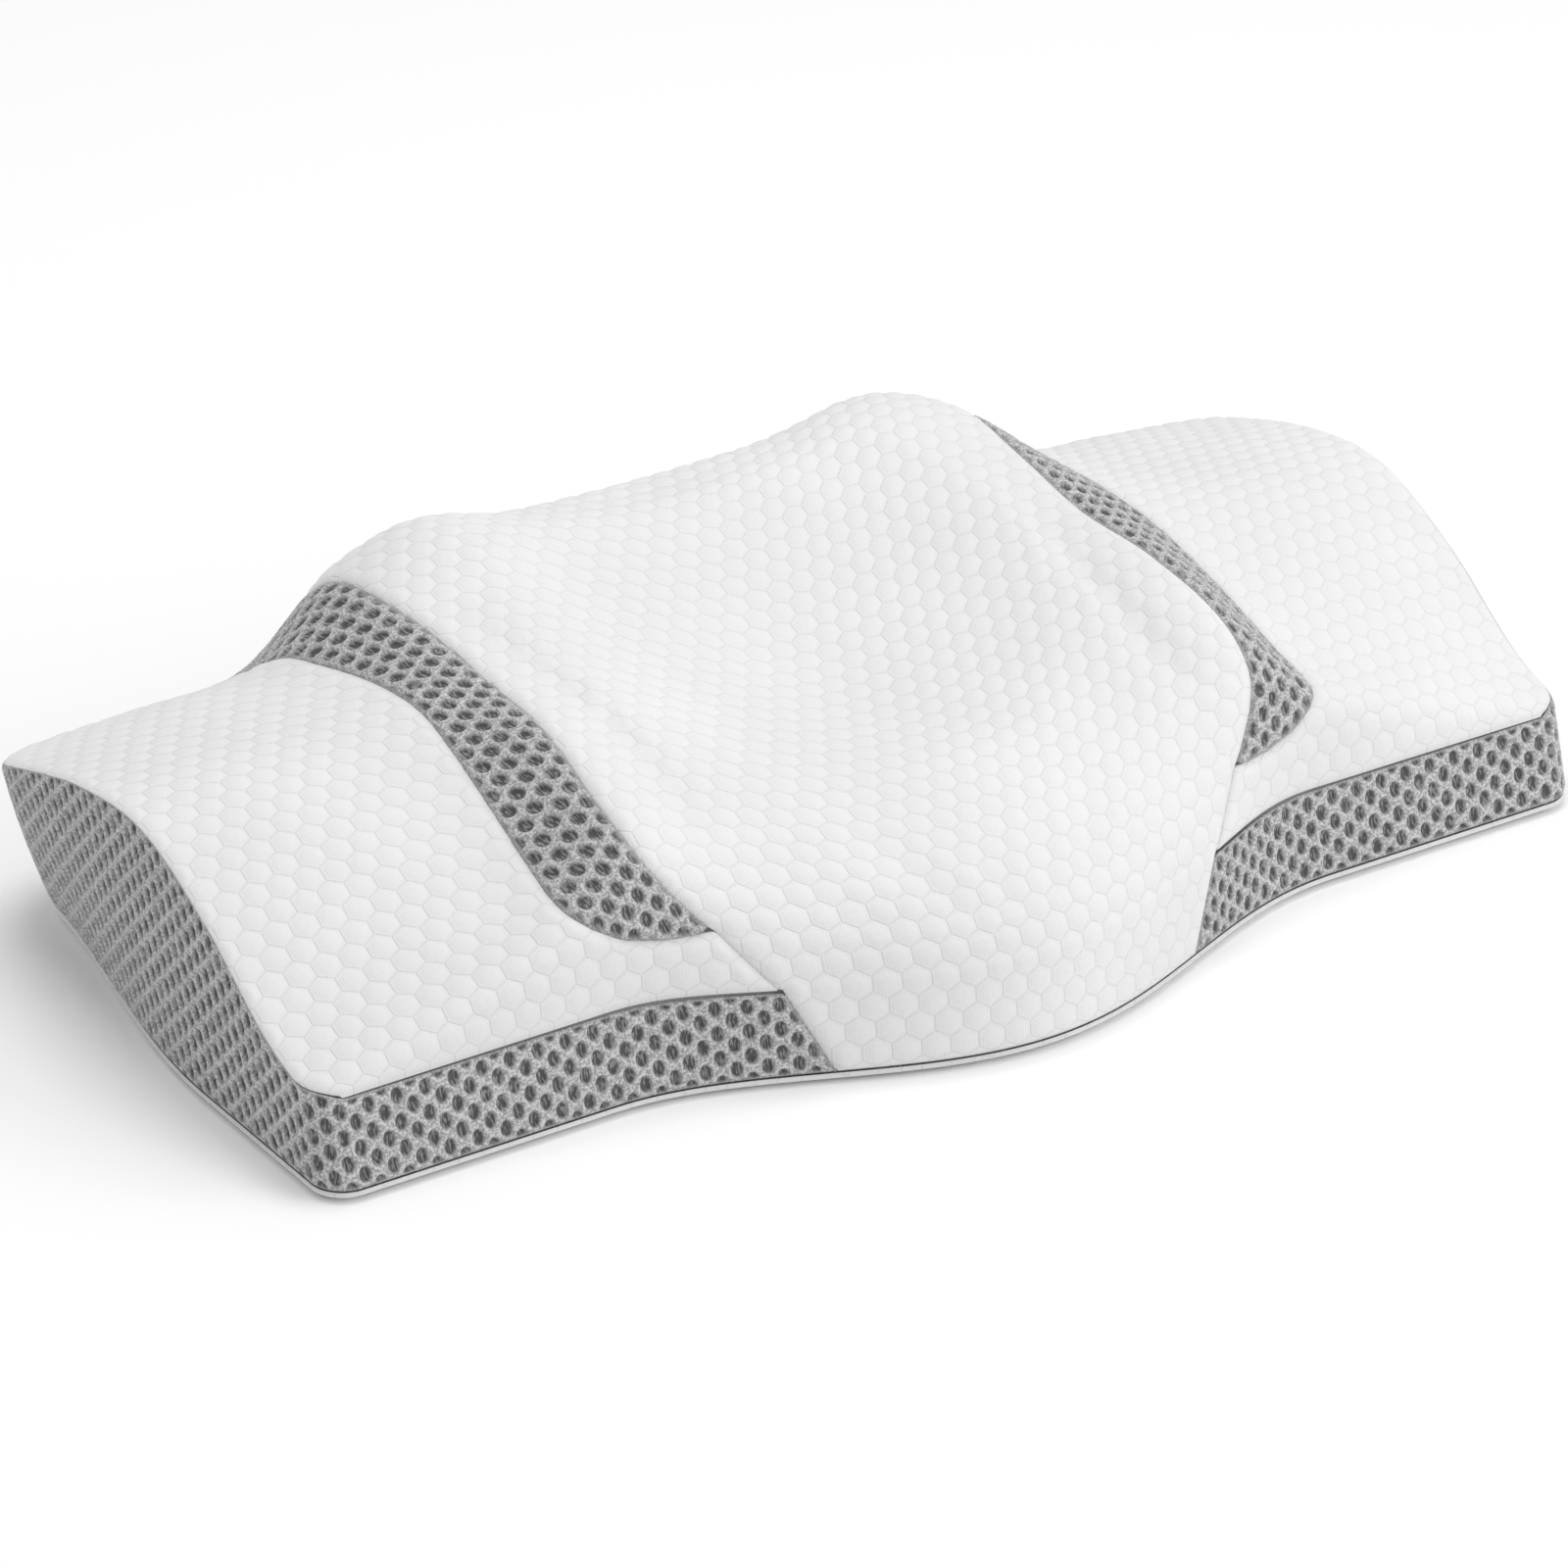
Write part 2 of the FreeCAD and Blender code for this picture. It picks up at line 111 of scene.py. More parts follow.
class PillowShape(bpy.types.PropertyGroup):
    """Sizes of the pillow's outside."""
    width: length("Width", "Length of the pillow from end to end", 0.625)
    wing_depth: length("Wing depth", "From the foot of the wings' front wall to the back wall", 0.307)
    nose: length("Nose", "How far the middle reaches past the wings", 0.049)
    nose_half_width: length("Nose half width", "Half width of the part that reaches forward", 0.180)
    height: length("Height", "Height of the two highest places", 0.146)
    back: length("Back wall", "Y of the back wall", 0.1763)
    front_seam: length("Front seam", "Height of the seam on top of the wings' front wall", 0.042)
    base_seam: length("Base seam", "Height of the seam round the base, at the back", 0.007)
    front_base: length("Front base seam", "Height of the seam round the base, in front", 0.0042)
    front_corner: length("Front corner", "Radius of the front corners", 0.016)
    back_corner: length("Back corner", "Radius of the back corners", 0.048)
    wing_lean: length("Wing lean", "How far the wings' front wall leans back", 0.012)
    nose_lean: length("Nose lean", "How far the nose's front wall leans back", 0.005)
    end_tuck: length("End tuck", "How far the end walls' foot is tucked in at the back", 0.030)
    end_height: length("End height", "Height at which an end wall is full width", 0.100)
    back_gusset: length("Back gusset", "Half length of the back gusset", 0.262)
    zip_half: length("Zip half length", "Half length of the zip opening", 0.220)
    zip_height: length("Zip opening", "Height of the zip opening", 0.012)


class CoverFinish(bpy.types.PropertyGroup):
    """Fabric of the cover."""
    cell: length("Quilted cell", "Width of a quilted hexagon across its flat sides", 0.0115)
    puff: length("Cell puff", "How high a quilted hexagon stands", 0.0007)
    eyelet_gap: length("Eyelet spacing", "Distance between eyelets in one row", 0.0130)
    eyelet_row: length("Eyelet row", "Distance between rows of eyelets in line", 0.0104)
    eyelet: length("Eyelet", "Half width of an eyelet of the spacer mesh", 0.0026)
    eyelet_shape: number("Eyelet shape", "Width of an eyelet over its height", 0.76)
    eyelet_depth: length("Eyelet depth", "Depth of an eyelet", 0.0022)
    quilt_step: length("Quilt detail", "Distance between points on the quilted panels", 0.0014)
    mesh_step: length("Mesh detail", "Distance between points on the mesh panels", 0.00085)
    seam_dip: length("Seam dip", "How deep a seam lies", 0.0015)
    knit: colour("Knit", "Colour of the quilted knit", (0.76, 0.76, 0.765))
    yarn: colour("Mesh yarn", "Colour of the spacer mesh", (0.42, 0.42, 0.425))
    # painted shade: the dark colour inside the eyelets stands for the shade in the holes
    eyelet_shade: colour("Mesh ground", "Colour inside the eyelets", (0.10, 0.10, 0.104))


class FillingFinish(bpy.types.PropertyGroup):
    """The liner and the core."""
    cover: length("Cover thickness", "Space that the cover takes", 0.0052)
    liner: length("Liner thickness", "Thickness of the liner", 0.0008)
    seam: length("Liner seam", "Height of the liner's seam", 0.030)
    detail: length("Detail", "Distance between points", 0.005)
    jersey: colour("Jersey", "Colour of the liner", (0.80, 0.79, 0.77))
    foam: colour("Foam", "Colour of the core", (0.83, 0.79, 0.66))


class ZipFinish(bpy.types.PropertyGroup):
    """The zip and the label."""
    pitch: length("Coil pitch", "Distance between loops of a coil", 0.0016)
    wire: length("Coil wire", "Radius of the coil's wire", 0.00034)
    tape: colour("Tape", "Colour of the tapes", (0.82, 0.82, 0.82))
    coil: colour("Coil", "Colour of the coils", (0.72, 0.72, 0.73))
    metal: colour("Metal", "Colour of the slider and pull", (0.62, 0.62, 0.63))
    satin: colour("Satin", "Colour of the label", (0.88, 0.88, 0.87))


class StageLook(bpy.types.PropertyGroup):
    """The floor, light and camera."""
    floor: colour("Floor", "Colour of the floor", (0.95, 0.95, 0.955))
    key: number("Key light", "Power of the main light", 30.0, unit="POWER")
    fill: number("Fill light", "Power of the light from the front", 39.0, unit="POWER")
    sky: number("Sky", "Strength of the light all round", 0.63)
    distance: length("Camera distance", "From the camera to what it looks at", 3.22975)
    lens: number("Lens", "Focal length in millimetres", 175.44)
    azimuth: number("Azimuth", "Camera's turn about the pillow", math.radians(-33.373), subtype="ANGLE")
    elevation: number("Elevation", "Camera's height above the pillow", math.radians(27.577), subtype="ANGLE")


def shape():
    """The pillow's sizes."""
    return bpy.context.scene.pillow_shape


def cover():
    """The cover's fabric."""
    return bpy.context.scene.pillow_cover


# ---------------------------------------------------------------- outside shape

def smooth_step(value, low, high):
    """Rises smoothly from 0 at low to 1 at high."""
    t = np.clip((value - low) / (high - low), 0.0, 1.0)
    return t * t * (3.0 - 2.0 * t)


def smooth_line(xs, ys, at):
    """A smooth line through points, carried on straight past the last ones."""
    xs = np.asarray(xs, float)
    ys = np.asarray(ys, float)
    if ys.ndim == 1:
        ys = np.repeat(ys[:, None], at.size, 1)
    last = len(xs) - 1
    order = np.arange(last + 1)
    low = np.maximum(order - 1, 0)
    high = np.minimum(order + 1, last)
    slopes = (ys[high] - ys[low]) / (xs[high] - xs[low])[:, None]
    i = np.clip(np.searchsorted(xs, at, side="right") - 1, 0, last - 1)
    n = np.arange(at.size)
    span = xs[i + 1] - xs[i]
    far = (at - xs[i]) / span
    t = np.clip(far, 0.0, 1.0)
    value = ys[i, n] * (1 + 2 * t) * (1 - t) ** 2 + ys[i + 1, n] * t * t * (3 - 2 * t)
    value += span * (slopes[i, n] * t * (1 - t) ** 2 - slopes[i + 1, n] * t * t * (1 - t))
    return value + span * (far - t) * np.where(far < 0, slopes[i, n], slopes[i + 1, n])


def front():
    """Y of the foot of the wings' front wall."""
    return shape().back - shape().wing_depth


def front_foot(x):
    """Y of the foot of the front wall, which reaches forward at the nose."""
    across = np.minimum(1.0, np.abs(x) / shape().nose_half_width)
    return front() - shape().nose * np.cos(0.5 * np.pi * across) ** 2


def front_lean(x):
    """How far the front wall leans back between its foot and the front seam."""
    s = shape()
    return s.nose_lean + (s.wing_lean - s.nose_lean) * smooth_step(np.abs(x), 0.100, 0.170)


def base_line(y):
    """Height of the base seam, which rises towards the zip."""
    return shape().front_base + (shape().base_seam - shape().front_base) * smooth_step(y, 0.070, 0.150)


def end_wall(y, z):
    """Half width of the pillow at an end wall, which bulges a little over its tucked foot."""
    s = shape()
    foot = 0.5 * s.width - s.end_tuck * smooth_step(y - front(), 0.102, s.wing_depth)
    rise = z / s.end_height
    return foot + (0.5 * s.width - foot) * np.where(rise < 1.0, 1.0 - np.abs(1.0 - rise) ** 1.5, rise)


def contour(x, y):
    """Height of the top before its front edge is rounded off."""
    s = shape()
    across = np.abs(x).ravel() / (0.5 * s.width)
    depth = np.ravel((y - front()) / s.wing_depth)
    mirrored = tuple(-w for w in COLUMN_WIDTHS[:0:-1]) + COLUMN_WIDTHS
    rows = [smooth_line(mirrored, row[:0:-1] + row, across) for row in CONTOUR]
    return (0.01 * s.height * smooth_line(ROW_DEPTHS, rows, depth)).reshape(np.shape(x))


def top_height(x, y):
    """Height of the pillow's top."""
    s = shape()
    behind = np.maximum(0.0, y - front_foot(x) - front_lean(x))
    roll = 0.0110 - 0.0074 * smooth_step(np.abs(x), 0.090, 0.170)
    return s.front_seam + (contour(x, y) - s.front_seam) * (1.0 - np.exp(-behind / roll))


def half_outline(place, z, inset=0.0):
    """The outline's right half at height z. Place runs 0-1 along the front from the middle, 1-2 round the
    front corner, 2-3 along the end, 3-4 round the back corner and 4-5 along the back to the middle."""
    s = shape()
    place, z = np.broadcast_arrays(np.asarray(place, float), np.asarray(z, float))
    part = np.clip(np.floor(place), 0, 4)
    t = place - part
    front_radius = s.front_corner - inset
    back_radius = s.back_corner - inset
    corner_x = 0.5 * s.width - inset - front_radius
    front_y = front_foot(corner_x * t) + front_lean(corner_x * t) * z / s.front_seam + inset
    corner_y = front_foot(corner_x) + front_lean(corner_x) * z / s.front_seam + inset + front_radius
    back_y = s.back - inset - back_radius
    back_x = end_wall(back_y, z) - inset - back_radius
    end_y = corner_y + (back_y - corner_y) * t
    turn = 0.5 * np.pi * t
    x = np.select([part == 0, part == 1, part == 2, part == 3],
                  [corner_x * t, corner_x + front_radius * np.sin(turn), end_wall(end_y, z) - inset,
                   back_x + back_radius * np.cos(turn)], back_x * (1.0 - t))
    y = np.select([part == 0, part == 1, part == 2, part == 3],
                  [front_y, corner_y - front_radius * np.cos(turn), end_y,
                   back_y + back_radius * np.sin(turn)], s.back - inset + 0.0 * t)
    return x, y


def even_places(step, low=0.0, high=5.0):
    """Places on the outline's right half about a step apart."""
    fine = np.linspace(low, high, 8001)
    x, y = half_outline(fine, 0.03)
    run = np.concatenate([[0.0], np.cumsum(np.hypot(np.diff(x), np.diff(y)))])
    count = max(8, int(math.ceil(run[-1] / step)))
    return np.interp(np.linspace(0.0, run[-1], count + 1), run, fine), np.linspace(0.0, run[-1], count + 1)


def rim_height(place):
    """Height of the top seam of the walls."""
    z = np.full(np.shape(place), shape().front_seam)
    for _ in range(30):
        x, y = half_outline(place, z)
        z = 0.5 * (z + top_height(x, y))
    return z


def rim_line():
    """The walls' top seam, right half, with the outward direction of the wall there."""
    place, _ = even_places(0.0015)
    z = rim_height(place)
    x, y = half_outline(place, z)
    along = np.stack([np.gradient(x), np.gradient(y)], 1)
    along /= np.linalg.norm(along, axis=1)[:, None]
    return np.stack([x, y, z], 1), np.stack([along[:, 1], -along[:, 0], 0.0 * x], 1)


def flap_edge(z):
    """Half width of the middle panel's flap on the front wall."""
    return 0.092 + 0.016 * (z - 0.009) / 0.033


def seam_path(seam):
    """A top seam in plan as closely spaced points, from before the front edge to past the back."""
    s = shape()
    shares = np.array(seam)
    depths = np.linspace(shares[0, 1], shares[-1, 1], 300)
    line = np.stack([smooth_line(shares[:, 1], shares[:, 0], depths), depths], 1)
    top = np.array(FLAP_TOP)
    before = top - (line[0] - top) * 0.8
    lead = np.stack([np.linspace(before[k], line[0][k], 40)[:-1] for k in (0, 1)], 1)
    line = np.concatenate([lead, line])
    return np.stack([line[:, 0] * 0.5 * s.width, front() + line[:, 1] * s.wing_depth], 1)


def nearest_segment(path, x, y):
    """Distance in plan from points to a path, and the number of the nearest segment."""
    starts = path[:-1]
    steps = path[1:] - starts
    sizes = (steps ** 2).sum(1)
    distance = np.empty(x.size)
    index = np.empty(x.size, int)
    points = np.stack([x.ravel(), y.ravel()], 1)
    for low in range(0, len(points), 4000):
        away = points[low:low + 4000, None] - starts[None]
        t = np.clip((away * steps).sum(2) / sizes, 0.0, 1.0)
        gap = ((away - t[..., None] * steps) ** 2).sum(2)
        index[low:low + 4000] = gap.argmin(1)
        distance[low:low + 4000] = np.sqrt(gap.min(1))
    return distance.reshape(x.shape), index.reshape(x.shape)


def inside_seam(seam, x, y):
    """Distance in plan from a top seam, positive towards the middle."""
    path = seam_path(seam)
    distance, _ = nearest_segment(path, np.abs(x), y)
    return distance * np.sign(np.interp(y, path[:, 1], path[:, 0]) - np.abs(x))


def inside_rim(x, y):
    """Distance in plan from the walls' top seam, positive inside."""
    rim, out = rim_line()
    distance, index = nearest_segment(rim[:, :2], np.abs(x), y)
    away = np.stack([np.abs(x), y], -1) - rim[index, :2]
    return -distance * np.sign((away * out[index, :2]).sum(-1))


def top_sheet(low, high, step, with_wall):
    """Grid over the top between two half widths, its rows spaced evenly over the surface from front to back.
    with_wall adds the front wall. Gives points and fabric coordinates."""
    s = shape()
    x = np.linspace(low, high, int(math.ceil((high - low) / step)) + 1)
    foot = front_foot(x)
    lean = front_lean(x)
    if with_wall:
        rise = np.linspace(s.front_base, s.front_seam, 60)[:-1, None]
        ys = foot + lean * rise / s.front_seam
        zs = rise + 0.0 * ys
    else:
        ys = foot + lean - np.linspace(0.002, 0.0, 8)[:-1, None]
        zs = s.front_seam + 0.0 * ys
    edge = foot + lean
    roll = 0.020
    near = np.linspace(0.0, roll, 90)[:, None]
    share = np.linspace(0.0, 1.0, 330)[1:, None]
    top = np.concatenate([edge + near, edge + roll + (s.back + NEAR_BACK - edge - roll) * share])
    columns = np.broadcast_to(x, top.shape)
    ys, zs = np.concatenate([ys, top]), np.concatenate([zs, top_height(columns, top)])
    steps = np.hypot(np.diff(ys, axis=0), np.diff(zs, axis=0))
    run = np.concatenate([np.zeros((1, len(x))), np.cumsum(steps, 0)])
    rows = int(math.ceil(run[-1].max() / step)) + 1
    share = np.linspace(0.0, 1.0, rows)
    start = len(ys) - len(top)
    points = np.empty((rows, len(x), 3))
    fabric = np.empty((rows, len(x), 2))
    for k in range(len(x)):
        at = share * run[-1, k]
        column = [np.interp(at, run[:, k], grid[:, k]) for grid in (ys, zs)]
        points[:, k] = np.stack([x[k] + 0.0 * at, *column], 1)
        fabric[:, k] = np.stack([x[k] + 0.0 * at, at - run[start, k]], 1)
    return points, fabric


def wall_sheet(place, run, step):
    """Grid over the right half's walls at places on the outline, from the base seam to the top seam."""
    top = rim_height(place)
    low = base_line(half_outline(place, shape().base_seam)[1])
    rows = int(math.ceil((top - low).max() / step)) + 1
    share = np.linspace(0.0, 1.0, rows)[:, None]
    z = low + (top - low) * share
    x, y = half_outline(place[None], z)
    return np.stack([x, y, z], 2), np.stack([run + 0.0 * z, z], 2)


def rings(step, whole=True):
    """The whole pillow, or only its base, as rings that close on a line in the middle."""
    s = shape()
    place, _ = even_places(step)

    def ring(x, y, z):
        half = np.stack([x, y, z + 0.0 * x], 1)
        return np.concatenate([half, (half[::-1] * MIRROR)[:-1]])

    def drawn_in(x, y, share):
        spine = np.clip(0.75 * x, -0.230, 0.230)
        return spine + (x - spine) * share, y * share

    stack = []
    base = base_line(half_outline(place, s.base_seam)[1])
    if whole:
        rim = rim_height(place)
        rim_x, rim_y = half_outline(place, rim)
        shares = np.concatenate([[0.0, 0.03], np.linspace(0.08, 0.90, int(0.14 / step)),
                                 [0.93, 0.955, 0.972, 0.985, 0.994]])
        for share in shares:
            x, y = drawn_in(rim_x, rim_y, share)
            stack.append(ring(x, y, top_height(x, y)))
        for share in np.linspace(1.0, 0.0, int(0.07 / step) + 2)[:-1]:
            z = base + (rim - base) * share
            stack.append(ring(*half_outline(place, z), z))
    for gap in (0.0, 0.0003, 0.0010, 0.0021, 0.0036, 0.0055, 0.0075, 0.0095):
        height = 1.0 - math.sqrt(1.0 - (1.0 - min(1.0, gap / 0.0085)) ** 2)
        stack.append(ring(*half_outline(place, base, gap), base * height))
    last_x, last_y = half_outline(place, s.base_seam, 0.0115)
    for share in np.linspace(1.0, 0.0, int(0.160 / step) + 1):
        stack.append(ring(*drawn_in(last_x, last_y, share), 0.0))
    return np.array(stack)


def grid_faces(rows, columns):
    """Quads of a grid of points."""
    index = np.arange(rows * columns).reshape(rows, columns)
    return np.stack([index[:-1, :-1], index[:-1, 1:], index[1:, 1:], index[1:, :-1]], 2).reshape(-1, 4)


def ring_mesh(points):
    """Faces of stacked closed rings."""
    rows, count = points.shape[:2]
    index = np.arange(rows * count).reshape(rows, count)
    after = np.roll(index, -1, axis=1)
    return np.stack([index[:-1], index[1:], after[1:], after[:-1]], 2).reshape(-1, 4)


# ---------------------------------------------------------------- stuffing by cloth simulation

BULGE = {}


def new_object(name, points, faces):
    """An object with a new mesh."""
    mesh = bpy.data.meshes.new(name)
    mesh.from_pydata([tuple(p) for p in points], [], faces)
    mesh.validate()
    made = bpy.data.objects.new(name, mesh)
    bpy.context.scene.collection.objects.link(made)
    return made


def only(made):
    """Selects one object and nothing else."""
    bpy.ops.object.select_all(action="DESELECT")
    made.select_set(True)
    bpy.context.view_layer.objects.active = made


def drop(made):
    """Deletes an object with its mesh."""
    mesh = made.data
    bpy.data.objects.remove(made, do_unlink=True)
    bpy.data.meshes.remove(mesh)


def vertex_array(mesh):
    """A mesh's points."""
    flat = np.empty(len(mesh.vertices) * 3)
    mesh.vertices.foreach_get("co", flat)
    return flat.reshape(-1, 3)


def finish_with(made, kind, **settings):
    """Gives the active object a modifier with its settings and applies it."""
    added = made.modifiers.new(kind.title(), kind)
    for key, value in settings.items():
        setattr(added, key, value)
    bpy.ops.object.modifier_apply(modifier=added.name)


def closed_body(name, step):
    """The whole pillow as an even closed mesh."""
    points = rings(step)
    made = new_object(name, points.reshape(-1, 3), ring_mesh(points).tolist())
    only(made)
    finish_with(made, "WELD", merge_threshold=BODY_WELD)
    finish_with(made, "REMESH", mode="VOXEL", voxel_size=step)
    return made


def tree_of(points):
    """A search tree of points."""
    tree = KDTree(len(points))
    for k, p in enumerate(points):
        tree.insert(p, k)
    tree.balance()
    return tree


def seam_lines():
    """Points along every seam that holds the cover in while it is stuffed."""
    rim, _ = rim_line()
    lines = [rim]
    for seam in (INNER_SEAM, OUTER_SEAM):
        path = seam_path(seam)
        path = path[path[:, 1] < shape().back]
        path = path[path[:, 1] > front_foot(path[:, 0]) + front_lean(path[:, 0])]
        lines.append(np.column_stack([path, top_height(path[:, 0], path[:, 1])]))
    z = np.linspace(shape().front_base, shape().front_seam, 12)
    x = flap_edge(z)
    lines.append(np.column_stack([x, front_foot(x) + front_lean(x) * z / shape().front_seam, z]))
    right = np.concatenate(lines)
    return np.concatenate([right, right * MIRROR])


def stuff(pressure=4.0, frames=20, cap=0.0035):
    """Swells a closed body under pressure, held at its seams and base, and keeps how far each point moved."""
    body = closed_body("stuffing", STUFFING_DETAIL)
    start = vertex_array(body.data)
    tree = tree_of(seam_lines())
    gap = np.array([tree.find(p)[2] for p in start])
    held = 1.0 - smooth_step(gap, 0.004, 0.022)
    held = np.maximum(held, 1.0 - smooth_step(start[:, 2], 0.008, 0.022))
    group = body.vertex_groups.new(name="held")
    for k, w in enumerate(held):
        group.add([k], float(w), "REPLACE")
    cloth = body.modifiers.new("Cloth", "CLOTH")
    settings = cloth.settings
    settings.quality = 5
    settings.mass = 0.3
    settings.tension_stiffness = 15.0
    settings.compression_stiffness = 15.0
    settings.shear_stiffness = 5.0
    settings.bending_stiffness = 0.6
    settings.use_pressure = True
    settings.uniform_pressure_force = pressure
    settings.effector_weights.gravity = 0.0
    settings.vertex_group_mass = group.name
    settings.pin_stiffness = 8.0
    cloth.point_cache.frame_start = 1
    cloth.point_cache.frame_end = frames
    for k in range(1, frames + 1):
        bpy.context.scene.frame_set(k)
    swollen = body.evaluated_get(bpy.context.evaluated_depsgraph_get()).to_mesh()
    moved = vertex_array(swollen) - start
    bpy.context.scene.frame_set(1)
    size = np.linalg.norm(moved, axis=1)
    usual = max(1e-6, float(np.percentile(size, 90)))
    size = np.maximum(size, 1e-9)
    moved *= (np.minimum(size, usual) / size * min(1.0, cap / usual))[:, None] * (1.0 - held)[:, None]
    drop(body)
    BULGE["tree"], BULGE["moved"] = tree_of(start), moved


def bulge_at(points):
    """How far stuffing moves each point."""
    if "tree" not in BULGE:
        return np.zeros_like(points)
    out = np.empty_like(points)
    for k, p in enumerate(points):
        found = BULGE["tree"].find_n(p, 6)
        weights = np.array([1.0 / (f[2] + 0.002) ** 2 for f in found])
        out[k] = (BULGE["moved"][[f[1] for f in found]] * weights[:, None]).sum(0) / weights.sum()
    return out


# ---------------------------------------------------------------- cut and sewn panels

def cut(points, fabric, keep):
    """Cuts a panel out of a grid where keep is positive. Gives its points, fabric coordinates, quads and
    triangles."""
    rows, columns = keep.shape
    values = np.concatenate([points.reshape(-1, 3), fabric.reshape(-1, 2)], 1)
    keep = keep.ravel().copy()
    keep[np.abs(keep) < 1e-6] = 1e-6
    quads = grid_faces(rows, columns)
    inside = keep[quads] > 0
    whole = quads[inside.all(1)]
    mixed = quads[inside.any(1) & ~inside.all(1)]
    triangles = np.concatenate([mixed[:, [0, 1, 2]], mixed[:, [0, 2, 3]]])
    inside = keep[triangles] > 0
    kept = [triangles[inside.all(1)]]
    fresh = {}
    extra = []

    def crossing(a, b):
        key = (a, b) if a < b else (b, a)
        if key not in fresh:
            t = np.clip(keep[key[0]] / (keep[key[0]] - keep[key[1]]), 0.03, 0.97)
            fresh[key] = len(values) + len(extra)
            extra.append(values[key[0]] + t * (values[key[1]] - values[key[0]]))
        return fresh[key]

    cut_quads = []
    cut_triangles = []
    for corners, within in zip(triangles.tolist(), inside.tolist()):
        if sum(within) == 1:
            k = within.index(True)
            p, q, r = corners[k], corners[(k + 1) % 3], corners[(k + 2) % 3]
            cut_triangles.append((p, crossing(p, q), crossing(p, r)))
        elif sum(within) == 2:
            k = within.index(False)
            p, q, r = corners[k], corners[(k + 1) % 3], corners[(k + 2) % 3]
            cut_quads.append((crossing(p, q), q, r, crossing(p, r)))
    if extra:
        values = np.concatenate([values, np.array(extra)])
    kept.append(np.array(cut_triangles, int).reshape(-1, 3))
    triangles = np.concatenate(kept)
    quads = np.concatenate([whole, np.array(cut_quads, int).reshape(-1, 4)])
    used = np.unique(np.concatenate([quads.ravel(), triangles.ravel()]))
    renumber = np.zeros(len(values), int)
    renumber[used] = np.arange(len(used))
    return values[used, :3], values[used, 3:], renumber[quads], renumber[triangles]


def normals_of(points, quads, triangles):
    """Smooth outward normals."""
    total = np.zeros_like(points)
    for faces in (quads, triangles):
        if not len(faces):
            continue
        corners = points[faces]
        if faces.shape[1] == 4:
            normal = np.cross(corners[:, 2] - corners[:, 0], corners[:, 3] - corners[:, 1])
        else:
            normal = np.cross(corners[:, 1] - corners[:, 0], corners[:, 2] - corners[:, 0])
        for k in range(faces.shape[1]):
            np.add.at(total, faces[:, k], normal)
    return total / np.maximum(np.linalg.norm(total, axis=1), 1e-12)[:, None]


def rim_edges(quads, triangles):
    """Edges with one face, in the order of that face."""
    edges = np.concatenate([quads[:, [0, 1]], quads[:, [1, 2]], quads[:, [2, 3]], quads[:, [3, 0]],
                            triangles[:, [0, 1]], triangles[:, [1, 2]], triangles[:, [2, 0]]])
    _, first, uses = np.unique(np.sort(edges, 1), axis=0, return_index=True, return_counts=True)
    return edges[first[uses == 1]]


def hexagon_gap(u, v, cell):
    """Distance from the nearest edge of a honeycomb whose cells are cell wide, with flat sides across u."""
    tall = ROOT_3 * cell
    best = None
    for shift in (0.0, 0.5):
        a = (u - shift * cell + 0.5 * cell) % cell - 0.5 * cell
        b = (v - shift * tall + 0.5 * tall) % tall - 0.5 * tall
        gap = 0.5 * cell - np.maximum(np.abs(a), 0.5 * np.abs(a) + 0.5 * ROOT_3 * np.abs(b))
        best = gap if best is None else np.maximum(best, gap)
    return np.maximum(best, 0.0)


def eyelet_gap(u, v):
    """Distance from the middle of the nearest eyelet."""
    c = cover()
    best = None
    for shift in (0.0, 0.5):
        a = (u - shift * c.eyelet_gap + 0.5 * c.eyelet_gap) % c.eyelet_gap - 0.5 * c.eyelet_gap
        b = (v - shift * c.eyelet_row + 0.5 * c.eyelet_row) % c.eyelet_row - 0.5 * c.eyelet_row
        gap = np.hypot(a, b * c.eyelet_shape)
        best = gap if best is None else np.minimum(best, gap)
    return best


def quilted(u, v, gap):
    """Relief of the quilted knit."""
    c = cover()
    cell = smooth_step(hexagon_gap(u, v, c.cell), 0.0, 0.32 * c.cell)
    return c.puff * cell * smooth_step(gap, 0.0005, 0.006)


def eyeleted(u, v, gap):
    """Relief of the spacer mesh."""
    c = cover()
    away = eyelet_gap(u, v)
    hole = 1.0 - smooth_step(away, 0.55 * c.eyelet, 1.25 * c.eyelet)
    lip = np.exp(-((away - 1.4 * c.eyelet) / (0.35 * c.eyelet)) ** 2)
    return (0.00025 * lip - c.eyelet_depth * hole) * smooth_step(gap, 0.0008, 0.0032)


